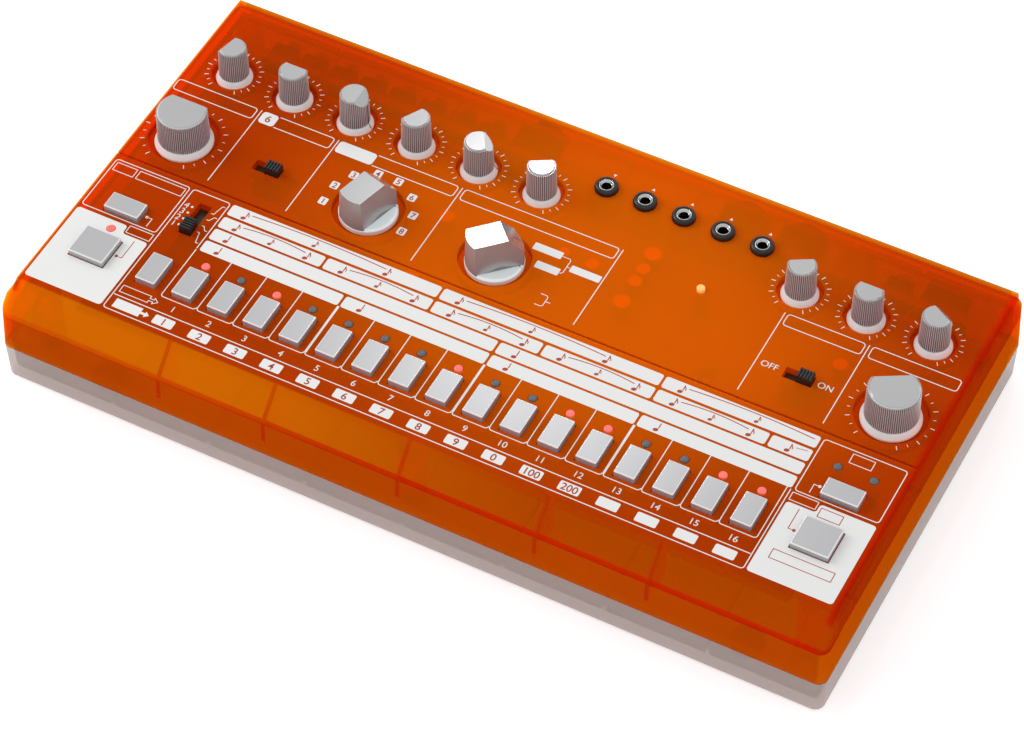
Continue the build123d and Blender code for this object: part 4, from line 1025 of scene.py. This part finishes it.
class DRUM_OT_large_knobs(bpy.types.Operator):
    """Model the two large fluted knobs"""
    bl_idname = "drum.large_knobs"
    bl_label = "Large Knobs"

    def execute(self, context):
        set_knobs(fluted_knob("large_knob", settings("large_knob")), LARGE_KNOBS, "knob")
        return {"FINISHED"}


class DRUM_OT_selectors(bpy.types.Operator):
    """Model the two bar-grip selectors"""
    bl_idname = "drum.selectors"
    bl_label = "Selectors"

    def execute(self, context):
        set_knobs(selector_knob("selector"), SELECTORS, "selector")
        return {"FINISHED"}


class DRUM_OT_keys(bpy.types.Operator):
    """Model the keys, each with its rounded cap, flange, stem and plunger"""
    bl_idname = "drum.keys"
    bl_label = "Keys"

    def execute(self, context):
        for name in KEYS:
            low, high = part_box(name)
            middle = (low + high) / 2
            cap_z, plunger_z = high.z - 6.0 * MM, low.z + 2.4 * MM
            cap = cube(name + "_cap", (low.x + KEY_FLANGE, low.y + KEY_FLANGE, cap_z),
                       (high.x - KEY_FLANGE, high.y - KEY_FLANGE, high.z))
            rounded(cap, settings("keys").bevel, 3)
            smooth(cap, 40.0)
            # the bevels get a painted highlight; the tops a lighter, glossier finish and the sides a darker
            # one, partly painted light and shade
            finished_by_face(cap, key_grey(), (edge_silver(), lambda face: 0.15 < face.normal.z < 0.97),
                             (key_top(), lambda face: face.normal.z > 0.98))
            flange = cube(name + "_flange", (low.x, low.y, cap_z - 0.4 * MM),
                          (high.x, high.y, cap_z + 0.6 * MM))
            stem = post(name + "_stem", middle, 1.6 * MM, plunger_z - 0.1 * MM, cap_z)
            plunger = post(name + "_plunger", middle, 1.3 * MM, low.z, plunger_z)
            parts = [cap]
            for part, width in ((flange, 0.15 * MM), (stem, 0.2 * MM), (plunger, 0.2 * MM)):
                rounded(part, width)
                parts.append(finished(part, key_grey()))
            finish_piece(joined(name, parts), name + "_cap", name, None, [name])
        return {"FINISHED"}


class DRUM_OT_lamps(bpy.types.Operator):
    """Model the lamps: lit and unlit red ones, and the amber one"""
    bl_idname = "drum.lamps"
    bl_label = "Lamps"

    def execute(self, context):
        form = settings("lamps")
        low, high = (corner.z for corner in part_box("leds"))
        lens_z = DECK_Z - 1.2 * MM
        spots = islands("leds", high)
        row_y = centre(STEP_KEYS[0]).y
        amber = max(spots, key=lambda spot: spot.y)
        lit, unlit = [], []
        for number, name in enumerate(STEP_KEYS, 1):
            x = centre(name).x
            nearest = min(spots, key=lambda spot: abs(spot.x - x) + abs(spot.y - row_y))
            (lit if number in LIT_STEPS else unlit).append(nearest)
        lit.append(spots[0])
        unlit += [spot for spot in spots if spot not in lit + unlit + [amber]]
        for name, places, rise, finish in (
                ("lamps_lit", lit, form.rise, lamp_glow("lit_red", form.red, 0.3)),
                ("lamps_unlit", unlit, form.rise, grained("unlit_lens", form.grey, 0.3)),
                ("lamp_tempo", [amber], form.amber_rise, lamp_glow("lit_amber", form.amber, 0.35))):
            top = DECK_Z + rise
            lens = lathe(name, [(0.0, lens_z), (form.radius, lens_z), (form.radius, top - 0.45 * MM),
                                (0.9 * form.radius, top - 0.2 * MM), (0.65 * form.radius, top - 0.06 * MM),
                                (0.35 * form.radius, top - 0.01 * MM), (0.0, top)], steps=40)
            smooth(lens, 50.0)
            lenses = repeated(lens, name, [(spot.x, spot.y, 0.0) for spot in places])
            finish_piece(lenses, name, "case", finish, ["leds"])
        foot = post("lamp_foot", Vector(), 1.9 * MM, low, low + 5.5 * MM)
        rounded(foot, 0.2 * MM)
        barrel = lathe("lamp_barrel", [(0.0, low + 5.4 * MM), (form.radius, low + 5.4 * MM),
                                       (form.radius, lens_z), (0.0, lens_z)], steps=40)
        foot = joined("lamp_foot", [foot, barrel])
        feet = repeated(foot, "lamp_feet", [(spot.x, spot.y, 0.0) for spot in spots])
        finish_piece(feet, "lamp_feet", "case", dark_spacer(), ["leds"])
        return {"FINISHED"}


class DRUM_OT_slide_caps(bpy.types.Operator):
    """Model the ridged slide-switch caps, each with its dust cover and stem"""
    bl_idname = "drum.slide_caps"
    bl_label = "Slide Caps"

    def execute(self, context):
        long, wide, ridge_height, ridges = 5.4 * MM, 4.2 * MM, 0.55 * MM, 5
        for name in SLIDE_CAPS:
            low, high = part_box(name)
            middle = (low + high) / 2
            along = Vector((1.0, 0.0)) if high.x - low.x > high.y - low.y else Vector((0.0, 1.0))
            half = (long * along + wide * along.yx) / 2
            half_ridge = (0.64 * long / ridges * along + wide * along.yx) / 2
            body_z = high.z - ridge_height
            body = cube(name, (*(middle.xy - half), COVER_Z - 0.1 * MM), (*(middle.xy + half), body_z))
            rounded(body, 0.2 * MM)
            parts = [body]
            for i in range(ridges):
                spot = middle.xy + ((i + 0.5) / ridges - 0.5) * long * along
                ridge = cube("ridge", (*(spot - half_ridge), body_z - 0.15 * MM),
                             (*(spot + half_ridge), high.z))
                rounded(ridge, 0.13 * MM)
                parts.append(ridge)
            cover = cube("cover", (low.x, low.y, COVER_Z - 0.8 * MM), (high.x, high.y, COVER_Z))
            stem = post("stem", middle, 1.2 * MM, low.z, COVER_Z - 0.7 * MM)
            for part in (cover, stem):
                rounded(part, 0.15 * MM)
            piece = joined(name, parts + [cover, stem])
            smooth(piece, 40.0)
            finish_piece(piece, name + "_ridged", name, satin_black(), [name])
        return {"FINISHED"}


class DRUM_OT_patch_jacks(bpy.types.Operator):
    """Model the deck's jacks: bodies, threaded bushes and round collars"""
    bl_idname = "drum.patch_jacks"
    bl_label = "Patch Jacks"

    def execute(self, context):
        low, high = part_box("patch_jack_collars")
        foot, mouth = (corner.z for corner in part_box("patch_jacks"))
        spots = islands("patch_jack_collars", low.z)
        rise = high.z - low.z
        collar = lathe("collar", [(2.8 * MM, 0.0), (4.05 * MM, 0.0), (4.2 * MM, 0.15 * MM),
                                  (4.2 * MM, rise - 1.2 * MM), (4.0 * MM, rise - 0.6 * MM),
                                  (3.6 * MM, rise - 0.15 * MM), (3.2 * MM, rise), (2.95 * MM, rise),
                                  (2.8 * MM, rise - 0.12 * MM)], steps=72, closed=True)
        smooth(collar, 50.0)
        bore_z = mouth - 13.8 * MM
        bush = lathe("bush", [(1.8 * MM, bore_z), (2.75 * MM, bore_z), (2.75 * MM, mouth - 0.35 * MM),
                              (2.62 * MM, mouth - 0.08 * MM), (2.45 * MM, mouth),
                              (2.3 * MM, mouth - 0.06 * MM), (2.05 * MM, mouth - 0.7 * MM),
                              (1.8 * MM, mouth - 0.9 * MM)], steps=72, closed=True)
        smooth(bush, 50.0)
        body = post("body", Vector(), 4.5 * MM, foot, COVER_Z)
        bpy.ops.mesh.primitive_cylinder_add(vertices=72, radius=1.81 * MM, depth=20.0 * MM,
                                            location=(0.0, 0.0, bore_z + 10.0 * MM))
        bore = just_added("bore")
        modify(body, "BOOLEAN", operation="DIFFERENCE", object=bore, solver="EXACT")
        removed(bore)
        rounded(body, 0.25 * MM, 2, 60.0)
        for model, lift, name, finish, slot, replaced in (
                (collar, low.z, "patch_jack_round_collars", satin_black(), "black_plastic",
                 "patch_jack_collars"),
                (bush, 0.0, "patch_jack_bushes", bright_nickel(), "nickel", "patch_jacks"),
                (body, 0.0, "patch_jack_bodies", dark_spacer(), "nickel", "patch_jacks")):
            piece = repeated(model, name, [(spot.x, spot.y, lift) for spot in spots])
            finish_piece(piece, name, "case", finish, [replaced])
        return {"FINISHED"}


class DRUM_OT_socket_contacts(bpy.types.Operator):
    """Model the five round contacts in each of the two round sockets"""
    bl_idname = "drum.socket_contacts"
    bl_label = "Socket Contacts"

    def execute(self, context):
        low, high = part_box("midi_sockets")
        half = 7.6 * MM
        spots = [Vector((x, 0.0, low.z + half)) for x in (low.x + half, high.x - half)]
        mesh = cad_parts["midi_sockets"].data
        core_y = max(vertex.co.y for vertex in mesh.vertices if (vertex.co - spots[0]).xz.length < 6.2 * MM)
        contact = lathe("contact", [(0.5 * MM, -0.3 * MM), (0.9 * MM, -0.3 * MM), (0.9 * MM, 0.06 * MM),
                                    (0.8 * MM, 0.12 * MM), (0.6 * MM, 0.12 * MM), (0.5 * MM, 0.02 * MM)],
                        steps=32, closed=True)
        contact.data.transform(Matrix.Rotation(math.radians(-90.0), 4, "X"))
        smooth(contact, 40.0)
        ring_r = 3.5 * MM
        angles = [math.radians(45.0 * step) for step in range(5)]
        places = [(spot.x + ring_r * math.cos(angle), core_y, spot.z + ring_r * math.sin(angle))
                  for spot in spots for angle in angles]
        contacts = repeated(contact, "socket_contacts", places)
        finish_piece(contacts, "socket_contacts", "case", bright_nickel())
        return {"FINISHED"}


class DRUM_OT_dial_marks(bpy.types.Operator):
    """Print the ticks round the dials"""
    bl_idname = "drum.dial_marks"
    bl_label = "Dial Marks"

    def execute(self, context):
        rings = []
        for names, low, major, minor in ((SMALL_KNOBS, 8.9, 10.46, 9.9), (LARGE_KNOBS, 13.6, 15.2, 14.6)):
            ticks = []
            for first, count, reach, width in ((-150.0, 11, major, THIN_LINE),
                                               (-135.0, 10, minor, FINE_LINE)):
                for i in range(count):
                    angle = math.radians(90.0 - first - 30.0 * i)
                    way = Vector((math.cos(angle), math.sin(angle)))
                    ticks.append(flat_line([low * way, reach * way], width))
            spots = [centre(f"{name}_knob") for name in names]
            places = [(spot.x, spot.y - MIDDLE_Y, 0.0) for spot in spots]
            rings.append(repeated(joined("tick_ring", ticks), "tick_rings", places))
        inked("dial_marks", rings, white_ink())
        return {"FINISHED"}


# each heading's two ends, with the end of its white plate where it has one
HEADINGS = ((-148.7, -116.7, None), (-114.4, -86.1, -108.3), (-84.0, -37.7, -69.4), (-35.4, 23.5, None),
            (85.6, 114.0, None), (116.3, 148.3, None))
HEADING_Y = (28.6, 34.1)
DIVIDERS = (-115.4, -84.8, -36.5, 24.6, 84.5, 115.1)
DIVIDER_Y = (-3.2, 34.0)


class DRUM_OT_headings(bpy.types.Operator):
    """Print the heading frames and the dividers between the control groups"""
    bl_idname = "drum.headings"
    bl_label = "Headings"

    def execute(self, context):
        low, high = HEADING_Y
        half_line = settings("print").line / MM / 2
        r = FRAME_CORNER - half_line
        shapes = []
        for x0, x1, plate in HEADINGS:
            if plate:
                shapes.append(flat_plate(x0, low, plate, high, FRAME_CORNER))
                path = [(plate + 0.3, high - half_line)]
                path += turn(x1 - FRAME_CORNER, high - FRAME_CORNER, r, 90.0, 0.0)
                path += turn(x1 - FRAME_CORNER, low + FRAME_CORNER, r, 0.0, -90.0)
                shapes.append(flat_line(path + [(plate + 0.3, low + half_line)]))
            else:
                shapes.append(flat_frame(x0, low, x1, high, FRAME_CORNER))
        shapes += [flat_line([(x, DIVIDER_Y[0]), (x, DIVIDER_Y[1])]) for x in DIVIDERS]
        for i, spot in enumerate(islands("patch_jack_collars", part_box("patch_jack_collars")[0].z)):
            x, y = spot.x / MM, (spot.y - MIDDLE_Y) / MM + 6.8
            tip = 0.75 if i else -0.75
            shapes.append(flat_shape(((x - 0.65, y - tip / 2), (x + 0.65, y - tip / 2), (x, y + tip))))
        inked("heading_print", shapes, white_ink())
        inked("heading_digits", [flat_text("6", -111.4, 31.35, 3.0)], red_ink(), 1)
        return {"FINISHED"}


# the white note bands: each row's upper and lower edge, and the gaps between its bands
NOTE_ROWS = (
    (-8.7, -13.8, (-20.8, 61.4)),
    (-14.9, -20.0, (-61.8, -20.8, 20.3, 61.4, 102.4)),
    (-20.9, -26.0, (6.6,)),
    (-26.9, -32.0, (-48.2, 6.6, 61.4)),
)
BAND_X = (-101.8, 117.2)
BAND_GAP = 0.95
SLUR_END = 115.6
CELL_LOW, CELL_HIGH = -55.4, -32.0
CELL_CORNER = 1.1
THICK_DIVIDERS = (4, 8, 12)
NUMBER_FRAME = (-117.4, -68.2, 117.2, -61.7)
NUMBER_Y, HALF_PLATE = -64.85, 1.95
NUMBERS = [str(number) for number in range(1, 10)] + ["0", "100", "200"]
FUNCTION_RIGHT, FUNCTION_TOP = -102.9, -8.9
# the arrows on the left: the shaft's two ends, its middle height, half its width, and whether it is filled
ARROWS = ((-114.9, -104.8, NUMBER_Y, HALF_PLATE, True), (-116.0, -105.2, -58.5, 1.5, False))


def note_bands():
    """The white bands over the step keys."""
    bands = []
    for top, low, gaps in NOTE_ROWS:
        inner = [gap + side * BAND_GAP / 2 for gap in gaps for side in (-1, 1)]
        edges = [BAND_X[0], *inner, BAND_X[1]]
        bands += [flat_plate(x0, low, x1, top, 0.9) for x0, x1 in zip(edges[::2], edges[1::2])]
    return bands


def band_notes(steps):
    """The notes on the bands, over the steps they belong to."""
    notes = []
    for first in (0, 6):
        x0, x1 = steps[first], steps[first + 4]
        notes += flat_run((x0, (x0 + x1) / 2, x1), -12.6, x1 - 0.6)
    notes += flat_run((steps[12], steps[14]), -12.6, SLUR_END)
    for first in (0, 3, 6, 9, 12):
        notes += flat_run(steps[first:first + 3], -18.7, steps[first + 2] - 0.8)
    notes.append(flat_note(steps[15], -18.7, 1.0, True))
    notes.append(flat_line([(111.7, -16.5), (SLUR_END, -15.9)], FINE_LINE))
    notes += [flat_note(steps[i], -24.6, 1.0, False) for i in (0, 8)]
    return notes + [flat_note(steps[i], -30.6, 1.0, False) for i in (0, 4, 8, 12)]


def step_cells(steps):
    """The line round each step key, open at its top, and the key's number."""
    half = (steps[-1] - steps[0]) / (len(steps) - 1) / 2
    line = settings("print").line / MM
    r = CELL_CORNER
    shapes = []
    for i, x in enumerate(steps):
        left, right = x - half, x + half - line
        path = [(left, CELL_LOW + r if i in THICK_DIVIDERS else CELL_HIGH)]
        path += turn(left + r, CELL_LOW + r, r, 180.0, 270.0) + turn(right - r, CELL_LOW + r, r, -90.0, 0.0)
        if x == steps[-1]:
            path.append((right, CELL_HIGH))
        shapes.append(flat_line(path))
        if i in THICK_DIVIDERS:
            shapes.append(flat_line([(left, CELL_LOW + r + 0.02), (left, CELL_HIGH)], THICK_LINE))
        shapes.append(label(str(i + 1), x, -58.6))
    return shapes


def number_frame():
    """The long frame under the step keys, which runs up on the left round the function key."""
    left, low, right, top = NUMBER_FRAME
    line = settings("print").line / MM
    r = CELL_CORNER
    path = [(FUNCTION_RIGHT, CELL_HIGH + 0.4)] + turn(FUNCTION_RIGHT - r, FUNCTION_TOP - r, r, 0.0, 90.0)
    path += turn(left + r, FUNCTION_TOP - r, r, 90.0, 180.0) + turn(left + r, low + r, r, 180.0, 270.0)
    path += turn(right - r, low + r, r, -90.0, 0.0) + [(right, CELL_HIGH - 0.4)]
    return [flat_line(path), flat_line([(left + line, top), (right - line, top)])]


def arrow(x0, x1, y, half, solid):
    """A broad arrow to the right, filled or as a line."""
    neck = x1 + 1.6
    outline = ((x0, y + half), (x0, y - half), (x1, y - half), (x1, y - 0.5), (neck, y - 0.5),
               (neck, y - 1.3), (x1 + 3.2, y), (neck, y + 1.3), (neck, y + 0.5), (x1, y + 0.5),
               (x1, y + half))
    return flat_shape(outline) if solid else flat_line((*outline, outline[0]), CURVE_LINE)


class DRUM_OT_step_print(bpy.types.Operator):
    """Print the note bands, the cells round the step keys and the row of numbers"""
    bl_idname = "drum.step_print"
    bl_label = "Step Print"

    def execute(self, context):
        steps = [centre(name).x / MM for name in STEP_KEYS]
        white = note_bands() + step_cells(steps) + number_frame()
        low, high = NUMBER_Y - HALF_PLATE, NUMBER_Y + HALF_PLATE
        white += [flat_plate(x - 3.8, low, x + 3.8, high, 0.6) for x in steps]
        white += [arrow(*shape) for shape in ARROWS]
        dark = band_notes(steps)
        dark += [flat_text(number, x, NUMBER_Y, 2.8) for number, x in zip(NUMBERS, steps)]
        inked("step_print", white, white_ink())
        inked("step_print_dark", dark, red_ink(), 1)
        return {"FINISHED"}


# frames and boxes by their corners, on the deck and on the white fields
SIDE_FRAMES = ((-148.1, -32.3, -118.6, -8.7), (118.2, -32.4, 147.8, -8.7))
SIDE_BOXES = ((-147.0, -14.0, -138.8, -10.0), (-137.9, -14.0, -119.7, -10.0), (129.0, -14.2, 137.0, -10.0))
FIELD_BOXES = ((129.0, -38.8, 137.0, -34.8), (122.2, -60.5, 143.8, -56.4))
# the white field round each wide key: its side of the case, its outer and its inner edge
FIELDS = ((-1, -148.3, -118.5), (1, 147.8, 118.1))
FIELD_LOW, FIELD_STEP, FIELD_HIGH = -68.1, -37.4, -33.7
SCALE_ROWS = (-25.1, -22.1, -19.1, -16.2)
# the four curves by the scale switch: their middle heights and half their rises
CURVES_X, CURVES = -105.0, ((-13.6, 2.2), (-18.0, 1.0), (-22.8, -0.8), (-27.4, -2.2))


class DRUM_OT_side_print(bpy.types.Operator):
    """Print the frames and white fields round the wide keys and the switches"""
    bl_idname = "drum.side_print"
    bl_label = "Side Print"

    def execute(self, context):
        white = [flat_frame(*corners, FRAME_CORNER) for corners in SIDE_FRAMES]
        white += [small_box(*corners) for corners in SIDE_BOXES]
        dark = [small_box(*corners) for corners in FIELD_BOXES]
        for side, outer, inner in FIELDS:
            step_x = inner + 10.1 * side
            white.append(flat_shape(((outer, FIELD_LOW), (inner, FIELD_LOW), (inner, FIELD_STEP),
                                     (step_x, FIELD_STEP), (step_x, FIELD_HIGH), (outer, FIELD_HIGH)), 1.2))
            left, right = sorted((inner + 0.1 * side, inner + 9.5 * side))
            white.append(small_box(left, -36.6, right, -33.1))
            dot, near, far = (side * x for x in (125.0, 124.3, 123.0))
            for shapes, y, end_y in ((white, -27.3, -31.0), (dark, -47.1, -38.6)):
                shapes.append(flat_disc(dot, y, 0.6))
                shapes.append(flat_line([(near, y), (far, y), (far, end_y)], THIN_LINE))
        white += [label("OFF", 89.5, 11.0), label("ON", 109.6, 11.0)]
        for number, y in enumerate(SCALE_ROWS, 1):
            white += [label(str(number), -115.8, y), flat_disc(-113.8, y, 0.45)]
        for y, rise in CURVES:
            curve = ((-1.5, -rise), (-0.6, -rise), (0.4, rise), (1.4, rise))
            white.append(flat_line([(CURVES_X + across, y + up) for across, up in curve], CURVE_LINE))
        openings = []
        for name in ("start_stop_key", "write_next_key"):
            low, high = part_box(name)
            edge = KEY_FLANGE - KEY_GAP
            openings.append(cube("opening", (low.x + edge, low.y + edge, DECK_Z - MM),
                                 (high.x - edge, high.y - edge, DECK_Z + MM)))
        lamp = islands("leds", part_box("leds")[1].z)[0]
        bpy.ops.mesh.primitive_cylinder_add(vertices=48, radius=1.65 * MM, depth=2 * MM,
                                            location=(lamp.x, lamp.y, DECK_Z))
        openings.append(just_added("lamp_opening"))
        inked("side_print", white, white_ink(), 0, openings)
        inked("side_print_dark", dark, red_ink(), 1)
        return {"FINISHED"}


# the number plates round the instrument selector, clockwise from the left
NUMBER_PLATES = ((-75.8, 6.8), (-75.8, 14.9), (-72.3, 22.0), (-65.2, 26.3), (-57.2, 26.3), (-49.7, 22.0),
                 (-45.5, 15.0), (-45.5, 6.9))
MODE_PLATES = ((-3.0, 20.4, 7.7, 23.6), (1.2, 13.4, 10.0, 16.6), (12.6, 16.9, 23.8, 20.0))
# the two brackets by the mode selector, each with its short lead
MODE_LINES = (
    ((7.9, 22.0), (10.6, 22.0), (11.2, 21.4), (11.2, 15.6), (10.6, 15.0), (10.2, 15.0)),
    ((11.35, 18.4), (12.4, 18.4)),
    ((8.9, 4.0), (11.2, 4.0), (11.8, 3.4), (11.8, -0.4), (11.2, -1.0), (8.9, -1.0)),
    ((11.95, 1.5), (13.6, 1.5)),
)


class DRUM_OT_selector_print(bpy.types.Operator):
    """Print the number plates round the instrument selector and the marks by the mode selector"""
    bl_idname = "drum.selector_print"
    bl_label = "Selector Print"

    def execute(self, context):
        white = [flat_plate(x - 1.5, y - 1.65, x + 1.5, y + 1.65, 0.5) for x, y in NUMBER_PLATES]
        white += [flat_plate(*corners, 0.4) for corners in MODE_PLATES]
        white += [flat_line(points, THIN_LINE) for points in MODE_LINES]
        dark = [flat_text(str(number), x, y, 2.3) for number, (x, y) in enumerate(NUMBER_PLATES, 1)]
        inked("selector_print", white, white_ink())
        inked("selector_print_dark", dark, red_ink(), 1)
        return {"FINISHED"}


class DRUM_OT_stage(bpy.types.Operator):
    """Set the floor, the lights and the camera"""
    bl_idname = "drum.stage"
    bl_label = "Stage"

    def execute(self, context):
        form = settings("stage")
        bpy.ops.mesh.primitive_plane_add(size=8.0)
        floor = just_added("floor")
        finished(floor, glowing_floor())
        world = bpy.data.worlds.new("studio")
        world.use_nodes = True
        sky = world.node_tree.nodes["Background"].inputs
        sky["Color"].default_value = (1.0, 1.0, 1.0, 1.0)
        sky["Strength"].default_value = form.sky
        context.scene.world = world
        for name, spot, size, power in (("key_light", (-0.345, 0.705, 0.96), 0.1, form.key_light),
                                        ("fill_light", (-1.3, -0.1, 0.9), 0.8, form.fill_light)):
            aim = Vector((0.0, 0.0, DECK_Z)) - Vector(spot)
            bpy.ops.object.light_add(type="AREA", location=spot,
                                     rotation=aim.to_track_quat("-Z", "Y").to_euler())
            light = context.object
            light.name = name
            light.data.size = size
            light.data.energy = power
        back = Vector((math.sin(form.azimuth) * math.cos(form.elevation),
                       -math.cos(form.azimuth) * math.cos(form.elevation), math.sin(form.elevation)))
        bpy.ops.object.camera_add(location=Vector(form.look) + back * form.distance,
                                  rotation=(-back).to_track_quat("-Z", "Y").to_euler())
        camera = context.object
        camera.data.lens = form.lens
        camera.data.sensor_width = 36.0
        context.scene.camera = camera
        context.scene.view_settings.view_transform = "Standard"
        return {"FINISHED"}


OPERATORS = (
    DRUM_OT_finish_shells, DRUM_OT_finish_inside, DRUM_OT_small_knobs, DRUM_OT_large_knobs, DRUM_OT_selectors,
    DRUM_OT_keys, DRUM_OT_lamps, DRUM_OT_slide_caps, DRUM_OT_patch_jacks, DRUM_OT_socket_contacts,
    DRUM_OT_dial_marks, DRUM_OT_headings, DRUM_OT_step_print, DRUM_OT_side_print, DRUM_OT_selector_print,
    DRUM_OT_stage,
)
GROUPS = {
    "shell": ShellSettings, "small_knob": SmallKnobSettings, "large_knob": LargeKnobSettings,
    "knobs": KnobSettings, "keys": KeySettings, "lamps": LampSettings, "print": PrintSettings,
    "stage": StageSettings,
}


class DRUM_PT_panel(bpy.types.Panel):
    """The sidebar's list of steps and settings"""
    bl_idname = "DRUM_PT_panel"
    bl_label = "Drum Machine"
    bl_space_type = "VIEW_3D"
    bl_region_type = "UI"
    bl_category = "Drum Machine"

    def draw(self, context):
        for operator in OPERATORS:
            self.layout.operator(operator.bl_idname)
        for name in GROUPS:
            group = settings(name)
            column_of_values = self.layout.box().column()
            for key in group.bl_rna.properties.keys():
                if key not in ("rna_type", "name"):
                    column_of_values.prop(group, key)


def register():
    for group in GROUPS.values():
        bpy.utils.register_class(group)
    for name, group in GROUPS.items():
        setattr(bpy.types.Scene, f"drum_{name}", PointerProperty(type=group))
    for operator in OPERATORS:
        bpy.utils.register_class(operator)
    bpy.utils.register_class(DRUM_PT_panel)


def unregister():
    bpy.utils.unregister_class(DRUM_PT_panel)
    for operator in reversed(OPERATORS):
        bpy.utils.unregister_class(operator)
    for name, group in reversed(list(GROUPS.items())):
        delattr(bpy.types.Scene, f"drum_{name}")
        bpy.utils.unregister_class(group)


def main():
    """Builds every piece in order."""
    register()
    for operator in OPERATORS:
        step = operator.bl_idname.split(".")[1]
        getattr(bpy.ops.drum, step)()


if __name__ == "__main__":
    main()
